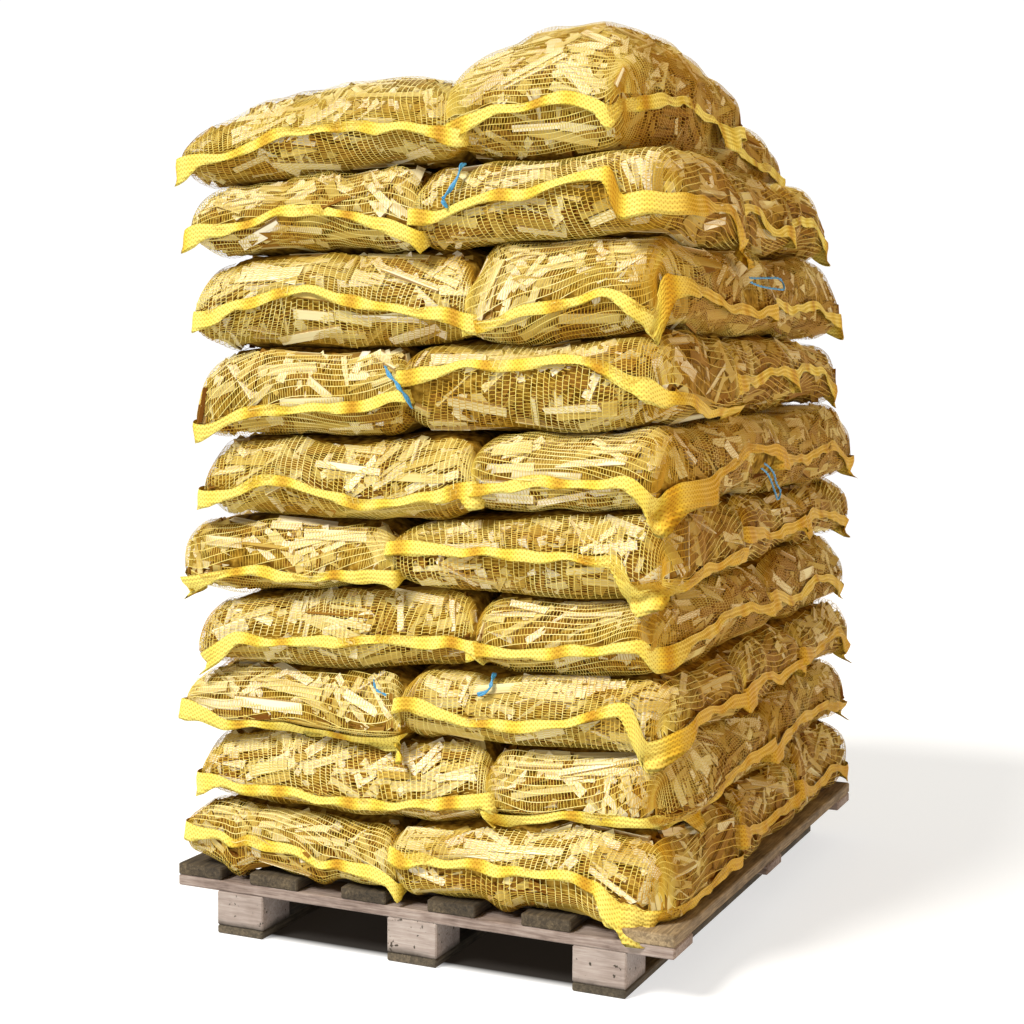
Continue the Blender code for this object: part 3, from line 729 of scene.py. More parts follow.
def heart_shape(sack):
    """Closed pillow inside the skin: drawn in from the outer sides and lowered there, full further in.

    Its height over the seam is the skin's times rise / (rise + lowered), where lowered is HEART_DEPTH near
    the outer sides and almost nothing inward. Its corners are kept nearer to the skin by CORNER_KEPT times
    |u v|^CORNER_NEAR, with u and v from -1 to 1, because the sticks there are short.
    """
    share = (1 - np.cos(np.linspace(0.0, math.pi, HEART_COLUMNS))) / 2
    left, right, front, back = (HEART_IN * (side in sack.outer) for side in (3, 1, 0, 2))
    start = np.array((sack.x[0], sack.y[0], 0.0))
    scale = np.array((1 - (left + right) / sack.width, 1 - (front + back) / sack.depth, 0.0))
    u, v = np.meshgrid(share, share, indexing="ij")
    corner = CORNER_KEPT * np.abs((2 * u - 1) * (2 * v - 1)) ** CORNER_NEAR
    verts = []
    for side in (1, -1):
        wide, deep = arc_sizes(sack, side)
        inward = outer_distance(sack, u * wide, v * deep, side) - HEART_FADE[0] - sack.ledge * (side > 0)
        inward = np.clip(inward / (HEART_FADE[1] - HEART_FADE[0]), 0.0, 1.0)
        if sack.crown is not None and side > 0:
            inward = 0.0
        panel = skin(sack, u * wide, v * deep, np.full(u.shape, side))
        across, along = ((panel - start) / (sack.width, sack.depth, 1.0))[..., :2].transpose(2, 0, 1)
        seam = levels(sack, panel[..., 0], panel[..., 1], across, along)[2]
        point = start + (left, front, 0.0) + (panel - start) * scale
        rise = panel[..., 2] - seam
        lowered = HEART_DEPTH * (1 - corner) * (1 - HEART_KEPT * inward**2 * (3 - 2 * inward))
        point[..., :2] += (panel - point)[..., :2] * corner[..., None]
        point[..., 2] = seam + rise * np.abs(rise) / np.maximum(np.abs(rise) + lowered, 1e-6)
        verts.append(point.reshape(-1, 3))
    count = HEART_COLUMNS**2
    top = grid_faces(HEART_COLUMNS, HEART_COLUMNS)
    edge = np.zeros((HEART_COLUMNS, HEART_COLUMNS), bool)
    edge[[0, -1], :] = edge[:, [0, -1]] = True
    joined = np.arange(2 * count)
    joined[count:][edge.ravel()] -= count
    used = joined[np.vstack((top[:, ::-1], top + count))]
    kept, faces = np.unique(used, return_inverse=True)
    return np.vstack(verts)[kept], faces.reshape(used.shape)


def joined_shapes(shapes):
    """One array of vertices and one of faces from several of each."""
    starts = np.cumsum([0] + [len(verts) for verts, faces in shapes[:-1]])
    faces = np.vstack([faces + start for start, (verts, faces) in zip(starts, shapes)])
    return np.vstack([verts for verts, faces in shapes]), faces


for layer, sacks in all_layers.items():
    heart_verts, heart_faces = joined_shapes([heart_shape(sack) for sack in sacks])
    heart = mesh_piece(f"sack_load_{layer:02d}", heart_verts, heart_faces, heart_wood, smooth=True)
    place_piece(heart, f"sack_layer_{layer:02d}")


# Kindling sticks: pine split with a blade to about 10 to 28 mm, up to 150 mm long, fresh and pale. They lie
# in loose bundles of near parallel sticks just under the net, with dark gaps between them. Near a seam,
# half of the bundles lie along it.
STICKS_PER_M2 = 1650
BUNDLE = 4
BUNDLE_SPREAD = math.radians(9.0)
STICK_LENGTH = (0.060, 0.150)
STICK_SHORTEST = 0.028
STICK_WIDTH = (0.012, 0.024)
STICK_VARIED = (0.8, 1.2)
STICK_THICK = (0.008, 0.014)
STICK_DEPTH = (0.0005, 0.0095)
STICK_SAG = 0.0075
STICK_ROLL = math.radians(15.0)
STICK_APART = 1.25
STICK_STRAY = 0.004
STICK_SLIP = 0.022
STICK_SKEW = (0.80, 1.0)
STICK_SLANT = 0.004
STICK_TAPER = (0.88, 1.0)
SHOWN_REACH = 0.112
CORNER_FREE = 0.014
RIM_REACH = 0.024
RIM_SHARE = 0.5
RIM_SPREAD = 0.40
# Tints run from 0, the palest sapwood, to 1, the brownest. Sticks that lie low, deep or to the right are
# drawn browner, for the shade that they lie in.
STICK_TINTS = (1.3, 2.4)
LOWER_TINT = 0.26
DEEP_TINT = 0.32
STICK_SIDE_TINT = 0.26
# The streaks' noise changes with the tint, so that each stick has its own, and has 7 cells round a stick.
# That makes them about 8 mm wide, drawn coarser than real grain so that they show.
STREAKS = (90.0, 7.0, 0.0)

# Fresh split pine is pale and dull, with streaks of darker grain along it. Its flanks and ends are painted
# browner than its upper face, as painted shade for the gaps that they lie in.
kindling, kindling_shader, add = new_material("fresh_split_pine", Roughness=0.72, Specular_IOR_Level=0.08)
stick_uv = add("UVMap", uv_map="OFBake")
stick_xy = add("SeparateXYZ", {0: stick_uv}).outputs
stick_tint = add("ValToRGB", {0: stick_xy[0]}, (
    (0.0, "#F8F3E0"), (0.40, "#F0E8C6"), (0.65, "#E0D49C"),
    (0.82, "#C6AE5E"), (0.93, "#AC8A3A"), (1.0, "#8A601E"),
))
stick_scaled = add("VectorMath", {0: stick_uv, 1: STREAKS}, operation="MULTIPLY")
stick_noise = add("TexNoise", {"Vector": stick_scaled, "Scale": 1.0, "Detail": 2.0})
stick_streak = add("ValToRGB", {0: stick_noise}, ((0.30, "#C9AC74"), (0.50, "#FFFFFF"), (1.0, "#FFFFFF")))
stick_colour = add("Mix", {0: 0.55, 6: stick_tint, 7: stick_streak}, data_type="RGBA", blend_type="MULTIPLY")
# Painted shade: a stick's flanks and ends are darker than its upper face.
stick_flank_painted_shade = add("ValToRGB", {0: stick_xy[1]}, (
    (0.0, "#B4925A"), (0.45, "#A88448"), (0.50, "#FFFFFF"), (0.75, "#FFFFFF"), (0.80, "#A88448"),
))
stick_shaded = add("Mix", {0: 0.85, 6: stick_colour.outputs[2], 7: stick_flank_painted_shade}, data_type="RGBA",
                   blend_type="MULTIPLY")
fill(kindling_shader, {"Base Color": stick_shaded.outputs[2]})


def panel_places(sack, spacing):
    """Places over both panels, one at random in each square cell, near an outer seam or on the open top."""
    places = []
    for side in (1, -1):
        wide, deep = arc_sizes(sack, side)
        columns, rows = math.ceil(wide / spacing), math.ceil(deep / spacing)
        column, row = (cell.ravel() for cell in np.meshgrid(np.arange(columns), np.arange(rows)))
        a = (column + sack.rng.uniform(0, 1, len(column))) * wide / columns
        b = (row + sack.rng.uniform(0, 1, len(row))) * deep / rows
        shown = outer_distance(sack, a, b, side) < SHOWN_REACH + sack.ledge * (side > 0)
        if sack.crown is not None and side > 0:
            shown |= True
        places.append((a[shown], b[shown], np.full(shown.sum(), side)))
    return [np.concatenate(values) for values in zip(*places)]


def stick_boxes(sack):
    """Split sticks as eight-cornered wedges: two ends on chords of the skin, four corners about each.

    A stick's ends are a heading and a length from its middle, both cut back where the chord would dive
    deeper than STICK_SAG under the skin. Its section is turned by a small roll about its line. Some of the
    bundles near a seam take their heading from the seam. Sticks too near a corner of the sack are left out.
    """
    rng = sack.rng
    a, b, side = panel_places(sack, math.sqrt(BUNDLE / STICKS_PER_M2))
    bundles = len(a)
    heading = np.repeat(rng.uniform(0, math.pi, bundles), BUNDLE)
    width = np.repeat(rng.uniform(*STICK_WIDTH, bundles), BUNDLE)
    width = width * rng.uniform(*STICK_VARIED, bundles * BUNDLE)
    wide, deep = arc_sizes(sack, side)
    from_x, from_y = np.minimum(a, wide - a), np.minimum(b, deep - b)
    along_seam = np.where(from_x < from_y, math.pi / 2, 0.0) + rng.normal(0, RIM_SPREAD, bundles)
    rim = (np.minimum(from_x, from_y) < RIM_REACH) & (rng.uniform(0, 1, bundles) < RIM_SHARE)
    heading = np.where(np.repeat(rim, BUNDLE), np.repeat(along_seam, BUNDLE), heading)
    place = np.tile(np.arange(BUNDLE) - (BUNDLE - 1) / 2, bundles)
    sidestep = place * width * STICK_APART + rng.normal(0, STICK_STRAY, len(place))
    a = np.repeat(a, BUNDLE) - np.sin(heading) * sidestep
    b = np.repeat(b, BUNDLE) + np.cos(heading) * sidestep
    side = np.repeat(side, BUNDLE)
    heading = heading + rng.normal(0, BUNDLE_SPREAD, len(heading))
    slip = rng.normal(0, STICK_SLIP, len(heading))
    a, b = a + np.cos(heading) * slip, b + np.sin(heading) * slip
    length = rng.uniform(*STICK_LENGTH, len(a))
    for _ in range(2):
        half = length / 2
        ends = [(a + sign * np.cos(heading) * half, b + sign * np.sin(heading) * half) for sign in (-1, 1)]
        first, last = (skin(sack, *end, side) for end in ends)
        sag = np.linalg.norm(skin(sack, a, b, side) - (first + last) / 2, axis=-1)
        length = length * np.minimum(1.0, np.sqrt(STICK_SAG / np.maximum(sag, 1e-6)))
    thick = rng.uniform(*STICK_THICK, len(a))
    depth = rng.uniform(*STICK_DEPTH, len(a)) + thick / 2
    first, last = (dressed(sack, *end, side, depth)[0] for end in ends)
    out = dressed(sack, a, b, side)[1]
    line = unit(last - first)
    across = unit(np.cross(out, line))
    up = np.cross(line, across)
    roll = rng.normal(0, STICK_ROLL, len(a))[:, None]
    across, up = np.cos(roll) * across + np.sin(roll) * up, np.cos(roll) * up - np.sin(roll) * across
    corners = np.array(((-1, -1), (1, -1), (1, 1), (-1, 1)), float)
    skew = corners * rng.uniform(*STICK_SKEW, (len(a), 4, 2))
    spread = skew[:, :, :1] * across[:, None] * width[:, None, None] / 2
    spread += skew[:, :, 1:] * up[:, None] * thick[:, None, None] / 2
    slant = rng.uniform(-STICK_SLANT, STICK_SLANT, (len(a), 2, 4, 1)) * line[:, None, None]
    taper = rng.uniform(*STICK_TAPER, (len(a), 2, 1, 1))
    verts = np.stack((first, last), 1)[:, :, None] + spread[:, None] * taper + slant
    kept = np.linalg.norm(last - first, axis=-1) > STICK_SHORTEST
    wide, deep = arc_sizes(sack, side)
    for end_a, end_b in ends:
        edge_a = np.minimum(np.abs(end_a), np.abs(wide - end_a))
        edge_b = np.minimum(np.abs(end_b), np.abs(deep - end_b))
        kept &= np.hypot(edge_a, edge_b) > CORNER_FREE
    tint = rng.beta(*STICK_TINTS, len(a)) + LOWER_TINT * (side < 0)
    tint = tint + DEEP_TINT * (depth / STICK_DEPTH[1]) ** 2
    tint = np.clip(tint + STICK_SIDE_TINT * np.clip(out[:, 0], 0, 1), 0.01, 0.99)
    # One number a stick is passed over here, so that the net and the band keep their own random numbers.
    rng.uniform(0, 1, len(a))
    return verts[kept], tint[kept]


# A stick's two ends, then its under face, a flank, its upper face and the other flank. In the UV map a
# face's place across the stick is its place round it, from 0 to 1, and the upper face is from 0.5 to 0.75.
BOX_FACES = np.array((
    (0, 3, 2, 1), (4, 5, 6, 7), (0, 1, 5, 4), (1, 2, 6, 5), (2, 3, 7, 6), (3, 0, 4, 7),
))
BOX_GRAIN = np.array((
    (0.0, 0.06, 0.12, 0.06), (0.0, 0.06, 0.12, 0.06), (0.0, 0.25, 0.25, 0.0), (0.25, 0.5, 0.5, 0.25),
    (0.5, 0.75, 0.75, 0.5), (0.75, 1.0, 1.0, 0.75),
))
for layer, sacks in all_layers.items():
    boxes = [stick_boxes(sack) for sack in sacks]
    stick_verts = np.vstack([verts for verts, tint in boxes])
    stick_tints = np.concatenate([tint for verts, tint in boxes])[:, None, None]
    stick_faces = (BOX_FACES[None] + 8 * np.arange(len(stick_verts))[:, None, None]).reshape(-1, 4)
    stick_uvs = np.stack(np.broadcast_arrays(stick_tints, BOX_GRAIN[None]), -1).reshape(-1, 2)
    sticks = mesh_piece(f"sack_sticks_{layer:02d}", stick_verts.reshape(-1, 3), stick_faces, kindling,
                        stick_uvs)
    place_piece(sticks, f"sack_layer_{layer:02d}")


# Netting: open raschel knit of yellow polyolefin tape. Wales run round the sack's girth about 11 mm apart,
# and thin rungs about 5 mm apart lock them together, a little coarser than the real knit's 9 by 4 mm.
# Filling the sack drags the mesh out of square.
WALE_PITCH = 0.0113
RUNG_PITCH = 0.0051
WALE_WIDTH = 0.0013
RUNG_WIDTH = 0.0011
WALE_STRAY = 0.0009
NODE_STRAY = 0.0003
LATE = 0.5
LATE_SHARE = 0.2
NET_REACH = 0.098
NET_LIFT = 0.0012
NET_OVERLAP = 0.003
PAST_SEAM = 0.036
SHEAR = 0.22
DRAG_SIZES = (0.012, 0.006, 0.002)
DRAG_WAVES = (0.42, 0.23, 0.12)
# Tints run from 0, the palest tape, to 1, the deepest yellow, with slow waves over each panel.
# The lower panel and the faces turned to the left or right are painted a deeper yellow, as painted shade.
UPPER_NET_TINT = 0.36
LOWER_NET_TINT = 0.58
NET_SIDE_TINT = 0.60
TINT_SIZES = (0.22, 0.16, 0.10)
TINT_WAVES = (0.30, 0.11, 0.05)
WALE_KIND = 0.25
RUNG_KIND = 0.75

# Drawn polyolefin film is half glossy. The map's second value tells wales from rungs, which are thinner and
# let more of the brown load through.
netting, netting_shader, add = new_material("raschel_knit_polyolefin_tape", Roughness=0.5,
                                            Specular_IOR_Level=0.10)
net_xy = add("SeparateXYZ", {0: add("UVMap", uv_map="OFBake")}).outputs
net_tint = add("ValToRGB", {0: net_xy[0]}, ((0.0, "#F0EAB0"), (0.5, "#E4D884"), (1.0, "#C8A43C")))
net_kind = add("ValToRGB", {0: net_xy[1]},
               ((0.0, "#FFFFFF"), (0.49, "#F8F0D8"), (0.51, "#EBD9A0"), (1.0, "#E0C880")))
net_colour = add("Mix", {0: 1.0, 6: net_tint, 7: net_kind}, data_type="RGBA", blend_type="MULTIPLY")
fill(netting_shader, {"Base Color": net_colour.outputs[2]})


def drag(rng, along, across, sizes, waves):
    """Smooth wandering of a mesh line: a sum of sines over the panel with random headings and phases."""
    total = 0.0
    for size, wave in zip(sizes, waves):
        heading, phase = rng.uniform(0, 2 * math.pi, 2)
        reach = 2 * math.pi / wave
        place = along * math.cos(heading) + across * math.sin(heading)
        total = total + size * np.sin(reach * place + phase)
    return total


def net_panel(sack, side):
    """One panel's net: wales as strips of quads and rungs as single quads between neighbouring wales.

    Nodes stand on a grid of wale by rung pitch, sheared and dragged by smooth waves. Each wale node has a
    left and a right edge half a wale's width apart, and every second one carries the strip. Rungs start
    half a pitch later on every second wale, and one in five slants by half a pitch.
    """
    rng = sack.rng
    wide, deep = arc_sizes(sack, side)
    long_x = sack.width > sack.depth
    run, girth = (wide, deep) if long_x else (deep, wide)
    reach = PAST_SEAM + SHEAR * girth / 2
    wale_places = np.arange(-reach, run + reach, WALE_PITCH)
    p, q = np.meshgrid(wale_places, np.arange(-PAST_SEAM, girth + PAST_SEAM, RUNG_PITCH), indexing="ij")
    p_moved = p + drag(rng, p, q, DRAG_SIZES, DRAG_WAVES) + rng.normal(0, WALE_STRAY, p.shape[0])[:, None]
    p_moved = p_moved + rng.uniform(-SHEAR, SHEAR) * (q - girth / 2)
    q_moved = q + drag(rng, p, q, DRAG_SIZES, DRAG_WAVES) + rng.normal(0, NODE_STRAY, p.shape)
    shown = (p_moved > -NET_OVERLAP) & (p_moved < run + NET_OVERLAP)
    shown &= (q_moved > -NET_OVERLAP) & (q_moved < girth + NET_OVERLAP)
    place = (p_moved, q_moved) if long_x else (q_moved, p_moved)
    if sack.crown is None or side < 0:
        shown &= outer_distance(sack, *place, side) < NET_REACH + sack.ledge * (side > 0)
    point, normal = dressed(sack, *place, np.full(p.shape, side), -NET_LIFT)
    edge = unit(np.cross(normal, unit(np.gradient(point, axis=1))))
    # Painted shade: the tint deepens on the lower panel and where the net faces left or right.
    tint = (UPPER_NET_TINT if side > 0 else LOWER_NET_TINT) + NET_SIDE_TINT * np.abs(normal[..., 0])
    tint = np.clip(tint + drag(rng, p, q, TINT_SIZES, TINT_WAVES), 0.02, 0.98)

    rails = np.stack((point - edge * WALE_WIDTH / 2, point + edge * WALE_WIDTH / 2), 2)
    rows, columns = p.shape
    index = np.arange(rows * columns).reshape(rows, columns) * 2
    start, end = index[:, :-2:2], index[:, 2::2]
    keep = shown[:, :-2:2] & shown[:, 2::2]
    wales = np.stack((start, start + 1, end + 1, end), -1)[keep]
    wale_tint = tint[:, :-2:2][keep]

    toward = unit(point[1:] - point[:-1])
    rung_edge = (unit(np.cross(normal[:-1], toward)) * RUNG_WIDTH / 2)[:, :-1]
    slip = rng.choice((0.0, LATE), (rows - 1, columns - 1), p=(1 - LATE_SHARE, LATE_SHARE))[..., None]
    late = LATE * (np.arange(rows - 1) % 2)[:, None, None]
    near_end = point[:-1, :-1] * (1 - late) + point[:-1, 1:] * late
    late = late + slip * (1 - 2 * late)
    far_end = point[1:, :-1] * (1 - late) + point[1:, 1:] * late
    rungs = np.stack((
        near_end - rung_edge, near_end + rung_edge, far_end + rung_edge, far_end - rung_edge,
    ), 2)
    keep = shown[:-1, :-1] & shown[1:, :-1] & shown[1:, 1:]
    rungs = rungs[keep]
    rung_tint = tint[:-1, :-1][keep]

    used, wale_faces = np.unique(wales, return_inverse=True)
    rung_faces = np.arange(len(rungs) * 4).reshape(-1, 4) + len(used)
    verts = np.vstack((rails.reshape(-1, 3)[used], rungs.reshape(-1, 3)))
    kind = np.repeat((WALE_KIND, RUNG_KIND), (len(wale_tint), len(rung_tint)))
    faces = np.vstack((wale_faces.reshape(-1, 4), rung_faces))
    return verts, faces, np.concatenate((wale_tint, rung_tint)), kind


# A tape's corners in the UV map, about its tint and kind.
TAPE_UV = np.array(((0.0, -0.2), (0.0, 0.2), (0.01, 0.2), (0.01, -0.2)))
for layer, sacks in all_layers.items():
    panels = [net_panel(sack, side) for sack in sacks for side in (1, -1)]
    net_verts, net_faces = joined_shapes([panel[:2] for panel in panels])
    net_tints, net_kinds = (np.concatenate([panel[number] for panel in panels]) for number in (2, 3))
    net_uvs = np.stack((net_tints, net_kinds), -1)[:, None] + TAPE_UV
    net = mesh_piece(f"sack_net_{layer:02d}", net_verts, net_faces, netting, net_uvs.reshape(-1, 2))
    place_piece(net, f"sack_layer_{layer:02d}")


# Edge band: the net's selvedge, knitted dense from doubled polyolefin strands and turned over as a hem. It
# runs round the sack's widest line, hangs free along its lower edge and ends in pointed ears at the corners.
BAND_WIDTH = 0.0180
BAND_SPREAD = 0.009
SPREAD_REACH = 0.075
BAND_STEP = 0.0072
BAND_LANES = 5
BAND_FLARE = 0.0050
FLARE_RUFFLED = 0.35
BAND_LIFT = 0.0026
BAND_CURL = (0.0024, 0.0008)
BAND_PAST = 0.045
BAND_STEEPEST = 2.2
CORNER_SMOOTH = 5
# Waves along the band, each a size and a length: of its height, of its width, of its hanging edge, and the
# fine ones of its cloth.
HEIGHT_WAVES = ((0.0026, 0.150), (0.0012, 0.083))
WIDTH_WAVES = ((0.20, 0.190), (0.05, 0.067))
BAND_RUFFLES = (0.074, 0.131)
RUFFLE_DROP = 0.0015
CRINKLE = 0.0007
CRINKLE_WAVES = (0.041, 0.067)
KNIT_REPEAT = 0.560
KNIT_ROWS = 70
KNIT_LINES = 2
KNIT_DEEP = 0.0160
HEM_TURNED = 0.92
EAR_BEFORE = 0.020
EAR_AFTER = 0.030
EAR_TAPER = 0.45
EAR_PUSHED = 1.3
EAR_HANGING = 0.02
GUESSED_PLACE = 0.02
GUESSED_DROP = (0.006, 0.026)
GUESSED_PUSH = 0.004
GUESSED_RUN = (0.01, 0.06)

# Ears of the front sacks: each one's place round the sack, how far the flap hangs below the band and how
# far it stands out, and its run along the band.
BAND_EARS = {
    (1, "left_front"): ((1.0, 0.014, 0.004, 0.0),),
    (3, "left_front"): ((0.0, 0.014, 0.004, 0.02), (0.98, 0.022, 0.008, 0.0)),
    (5, "left_front"): ((0.0, 0.010, 0.004, 0.02), (1.0, 0.010, 0.004, 0.0)),
    (7, "left_front"): ((0.0, 0.012, 0.004, 0.02),),
    (9, "left_front"): ((0.0, 0.016, 0.004, 0.03), (1.0, 0.014, 0.004, 0.0)),
    (10, "left_front"): ((0.0, 0.018, 0.004, 0.03),),
    (1, "right_front"): ((0.78, 0.026, 0.014, 0.03), (0.85, 0.046, 0.022, 0.03)),
    (2, "right_front"): ((1.28, 0.026, 0.008, 0.04),),
    (3, "right_front"): ((0.93, 0.026, 0.008, 0.08),),
    (4, "right_front"): ((0.99, 0.014, 0.005, 0.06),),
    (5, "right_front"): ((0.89, 0.028, 0.008, 0.04),),
    (6, "right_front"): ((0.90, 0.036, 0.010, 0.16),),
    (7, "right_front"): ((0.92, 0.016, 0.005, 0.03),),
    (8, "right_front"): ((0.95, 0.018, 0.005, 0.10),),
    (9, "right_front"): ((0.80, 0.018, 0.006, 0.20), (1.9, 0.036, 0.006, 0.03)),
    (10, "right_front"): ((0.86, 0.022, 0.006, 0.0), (1.72, 0.034, 0.014, 0.08)),
}

# The selvedge is dense, so it looks a deep and even yellow. Its knit shows as lengthwise ribs with staggered
# holes, drawn 8 mm apart so that they show. Toward the right side it is painted a deeper orange, as painted
# shade.
selvedge, selvedge_shader, add = new_material("dense_knit_polyolefin_selvedge", Roughness=0.55,
                                              Specular_IOR_Level=0.10)
band_uv = add("UVMap", uv_map="OFBake")
band_along = add("SeparateXYZ", {0: band_uv})
band_slow = []
for turns, shift in ((3, 0.0), (8, 1.3)):
    band_angle = add("Math", {0: band_along, 1: 2 * math.pi * turns, 2: shift}, operation="MULTIPLY_ADD")
    band_sine = add("Math", {0: band_angle}, operation="SINE")
    band_slow.append(add("Math", {0: band_sine, 1: 0.5, 2: 0.5}, operation="MULTIPLY_ADD"))
band_wear = add("Math", {0: band_slow[0], 1: band_slow[1]}, operation="MULTIPLY")
band_base = add("ValToRGB", {0: band_wear}, ((0.0, "#EADA70"), (0.45, "#DFC648"), (1.0, "#BE9026")))
band_turns = add("VectorMath", {0: band_uv, 1: (2 * math.pi * KNIT_ROWS, 2 * math.pi * KNIT_LINES, 0.0)},
                 operation="MULTIPLY")
band_knit = add("SeparateXYZ", {0: add("VectorMath", {0: band_turns}, operation="SINE")}).outputs
band_rows = add("Math", {0: band_knit[0], 1: band_knit[1]}, operation="MULTIPLY")
band_holes = add("ValToRGB", {0: band_rows},
                 ((0.0, "#FFFFFF"), (0.35, "#FCF2D0"), (0.70, "#D0A448"), (1.0, "#94681C")))
band_out = add("SeparateXYZ", {0: add("TexCoord").outputs["Object"]})
# Painted shade: the band turns a deeper orange toward the stack's right side.
band_shade = add("MapRange", {0: band_out, 1: 0.43, 2: 0.50, 4: 0.85})
band_sides = add("Mix", {0: band_shade, 6: band_base, 7: linear("#C4941C")}, data_type="RGBA")
band_colour = add("Mix", {0: 0.62, 6: band_sides.outputs[2], 7: band_holes}, data_type="RGBA",
                  blend_type="MULTIPLY")
band_bump = add("Bump", {"Height": band_knit[1], "Strength": 0.6, "Distance": 0.0010})
fill(selvedge_shader, {"Base Color": band_colour.outputs[2], "Normal": band_bump})


def wave_along(distance, wave, phase):
    """Sine along the band of a wave's length and phase."""
    return np.sin(2 * math.pi * distance / wave + phase)


def band_shape(sack):
    """The band as a ribbon: rows along the outline, lanes from its upper edge over a flare to a curled edge.

    Each row's height is the band's course plus waves. Each lane stands off the skin by a lift plus a
    flare that grows with the square of its share of the width, and an ear is a triangle added to the width.
    """
    rng = sack.rng
    sizes = (sack.width, sack.depth, sack.width, sack.depth)
    parts = [np.linspace(t, t + 1, int(sizes[t % 4] / BAND_STEP), endpoint=False)
             for t in range(sack.start, sack.end)]
    before = sack.start - np.arange(BAND_PAST, 0, -BAND_STEP) / sizes[(sack.start - 1) % 4]
    after = sack.end + np.arange(0, BAND_PAST, BAND_STEP) / sizes[sack.end % 4]
    turn = np.concatenate((before, *parts, after))
    across, along = outline_of(turn)
    x, y = pulled_in(sack, across, along, 0.0)
    kernel = np.hanning(2 * CORNER_SMOOTH + 3)[1:-1]
    kernel /= kernel.sum()
    padded = [np.pad(value, CORNER_SMOOTH, mode="reflect", reflect_type="odd") for value in (x, y)]
    x, y = (np.convolve(value, kernel, mode="valid") for value in padded)
    heading = unit(np.stack((np.gradient(x), np.gradient(y)), -1))
    outward = np.stack((heading[:, 1], -heading[:, 0]), -1)
    distance = np.concatenate(([0.0], np.cumsum(np.hypot(np.diff(x), np.diff(y)))))

    low, high, seam = levels(sack, x, y, across, along)
    centre = low + band_share(sack, turn) * (high - low)
    phases = rng.uniform(0, 2 * math.pi, 6)
    for (size, wave), phase in zip(HEIGHT_WAVES, phases[:2]):
        centre = centre + size * wave_along(distance, wave, phase)
    corners = range(sack.start, sack.end + 1)
    from_corner = np.min([np.abs(distance - np.interp(corner, turn, distance)) for corner in corners], axis=0)
    width = BAND_WIDTH + BAND_SPREAD * np.exp(-((from_corner / SPREAD_REACH) ** 2))
    for (size, wave), phase in zip(WIDTH_WAVES, (phases[2], phases[5])):
        width = width * (1 + size * wave_along(distance, wave, phase))
    ears = BAND_EARS.get((sack.layer, sack.place))
    if ears is None:
        ears = [(
            corner + rng.normal(0, GUESSED_PLACE), rng.uniform(*GUESSED_DROP), GUESSED_PUSH,
            rng.uniform(*GUESSED_RUN),
        ) for corner in corners]
    drop = np.zeros(len(turn))
    push = np.zeros(len(turn))
    for ear_turn, ear_drop, ear_push, ear_run in ears:
        past = distance - np.interp(ear_turn, turn, distance)
        away = np.maximum(-past / EAR_BEFORE, (past - ear_run) / EAR_AFTER)
        ear = np.clip(1 - away, 0, 1) * (1 - EAR_TAPER * np.clip(past / (ear_run + EAR_AFTER), 0, 1))
        drop = np.maximum(drop, ear_drop * ear)
        push = np.maximum(push, ear_push * np.clip(EAR_PUSHED - away, 0, 1))
    ruffle = sum(wave_along(distance, wave, phase) for wave, phase in zip(BAND_RUFFLES, phases[3:5])) / 2
    width = width * np.minimum(np.sqrt(1 + np.gradient(centre, distance) ** 2), BAND_STEEPEST)
    crinkle = CRINKLE * sum(wave_along(distance, wave, phases[1] * wave) for wave in CRINKLE_WAVES)

    lane = np.linspace(0.0, 1.0, BAND_LANES)[None]
    z = (centre + width / 2)[:, None] - lane * (width + drop + RUFFLE_DROP * ruffle)[:, None]
    half = np.where(z > seam[:, None], (high - seam)[:, None], (seam - low)[:, None])
    reach = np.clip(np.abs(z - seam[:, None]) / half / PLUMP, 0.0, 0.97)
    power = 2 / SQUARENESS
    skin_in = ROUND_OUTER * (1 - (1 - reach**power) ** (1 / power)) + SKIN_IN
    hang = lane * (skin_in - skin_in[:, :1]) * (0.5 + 0.5 * np.clip(drop / EAR_HANGING, 0, 1))[:, None]
    stand = BAND_LIFT - skin_in + hang
    stand += lane**2 * (BAND_FLARE * (1 + FLARE_RUFFLED * ruffle[:, None])) + (0.25 + lane) * crinkle[:, None]
    stand += np.sqrt(lane) * push[:, None]
    stand = np.hstack((stand, stand[:, -1:] - BAND_CURL[0]))
    z = np.hstack((z, z[:, -1:] + BAND_CURL[1]))
    points = np.stack((x[:, None] + outward[:, :1] * stand, y[:, None] + outward[:, 1:] * stand, z), -1)
    knit_deep = np.append(lane[0], HEM_TURNED)[None] * (width + drop)[:, None] / KNIT_DEEP
    uv = np.stack(np.broadcast_arrays((distance / KNIT_REPEAT)[:, None], knit_deep), -1)
    faces = grid_faces(len(turn), BAND_LANES + 1)[:, ::-1]
    return points.reshape(-1, 3), faces, uv.reshape(-1, 2)


for layer, sacks in all_layers.items():
    shapes = [band_shape(sack) for sack in sacks]
    band_verts, band_faces = joined_shapes([shape[:2] for shape in shapes])
    band_uvs = np.vstack([shape[2] for shape in shapes])[band_faces].reshape(-1, 2)
    band = mesh_piece(f"sack_band_{layer:02d}", band_verts, band_faces, selvedge, band_uvs, smooth=True)
    place_piece(band, f"sack_layer_{layer:02d}")


# Pallet wood: sawn softwood, nailed and weathered outdoors, so it is dull, with dark grain along each board
# and broad stains. The blocks are paler, with soiled feet. The grain is drawn coarser than the real 1 to 2 mm
# so that it shows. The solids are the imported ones, and only their finish is set here.
GRAIN_MM = 5.0
GRAIN_STRETCH = 14.0
STAIN_MM = 90.0
STAIN_SHARE = 0.42
SPECK_MM = 9.0
FOOT_RAGGED = 0.030
FOOT_EDGE = 0.014
SOIL = "#3A3228"


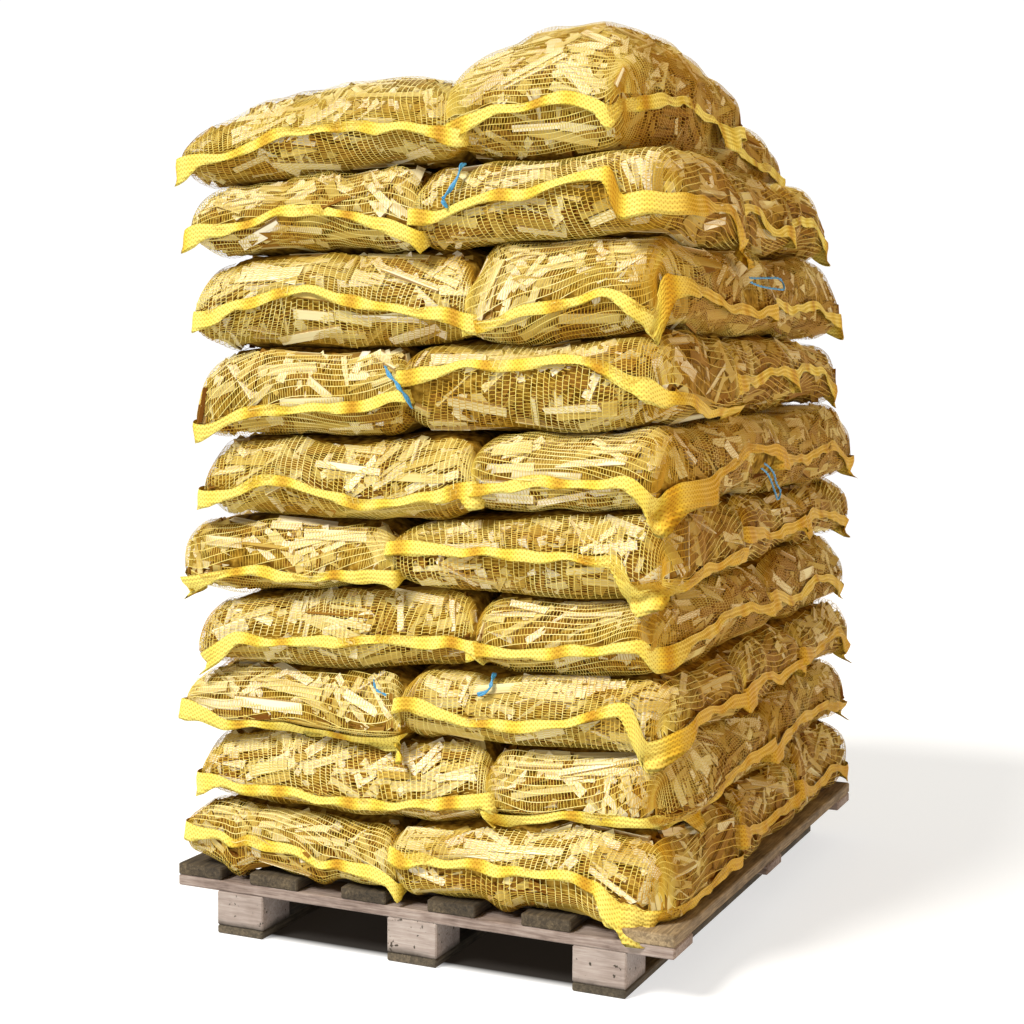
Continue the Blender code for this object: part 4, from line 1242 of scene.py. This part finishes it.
def weathered_wood(name, along, dark, middle, light, roughness, foot=None):
    """Weathered sawn wood: fine grain noise stretched along an axis, laid over broad stains.

    With a foot height, the wood is stained dark from the floor up to a ragged line about there.
    """
    wood, shader, add = new_material(name, Roughness=roughness)
    place = add("TexCoord").outputs["Object"]
    stretch = [1000 / GRAIN_MM / (GRAIN_STRETCH if axis == along else 1.0) for axis in range(3)]
    stretched = add("VectorMath", {0: place, 1: stretch}, operation="MULTIPLY")
    grain = add("TexNoise", {
        "Vector": stretched, "Scale": 1.0, "Detail": 6.0, "Roughness": 0.65, "Distortion": 0.4})
    stain = add("TexNoise", {"Vector": place, "Scale": 1000 / STAIN_MM, "Detail": 4.0, "Roughness": 0.6})
    both = add("Mix", {0: STAIN_SHARE, 2: grain, 3: stain}, data_type="FLOAT")
    colour = add("ValToRGB", {0: both}, ((0.36, dark), (0.50, middle), (0.64, light)))
    if foot:
        height = add("SeparateXYZ", {0: place}).outputs[2]
        ragged = add("Math", {0: stain, 1: -FOOT_RAGGED, 2: height}, operation="MULTIPLY_ADD")
        wet = add("MapRange", {0: ragged, 1: foot - FOOT_EDGE, 2: foot, 3: 1.0, 4: 0.0})
        soiled = add("Mix", {0: wet, 6: colour, 7: linear(SOIL)}, data_type="RGBA").outputs[2]
        specks = add("TexNoise", {"Vector": place, "Scale": 1000 / SPECK_MM, "Detail": 2.0})
        speck = add("MapRange", {0: specks, 1: 0.66, 2: 0.72})
        colour = add("Mix", {0: speck, 6: soiled, 7: linear(SOIL)}, data_type="RGBA").outputs[2]
    bump = add("Bump", {"Height": grain, "Strength": 0.5, "Distance": 0.0015})
    fill(shader, {"Base Color": colour, "Normal": bump})
    return wood


# A node takes the last finish whose name its own begins with.
PALLET_FINISHES = {
    "bottom_board": weathered_wood("weathered_sawn_pine_bottom", 1, "#2E281E", "#4A4234", "#6A5E4C", 0.88),
    "block": weathered_wood("sawn_pine_block", 0, "#84766E", "#9C8F87", "#B0A59D", 0.85, foot=0.014),
    "stringer": weathered_wood("weathered_sawn_pine_stringer", 0, "#5A4A42", "#88786F", "#A89B92", 0.86),
    # Deck boards are near-black, partly weathered wood and partly painted shade from the sacks over their
    # ends.
    "deck_board": weathered_wood("weathered_sawn_pine_deck_and_painted_shade", 1, "#241E14", "#423829", "#675A43", 0.88),
    # The right-most deck board is drawn lighter, partly as paler wood and partly as painted light on its
    # shaded right side.
    "deck_board_6": weathered_wood("paler_sawn_pine_deck_and_painted_light", 1, "#4A3E2E", "#7C6A50", "#A4906E", 0.88),
}
for node_name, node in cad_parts.items():
    for finish_name, finish in PALLET_FINISHES.items():
        if node_name.startswith(finish_name):
            node.data.materials.clear()
            node.data.materials.append(finish)
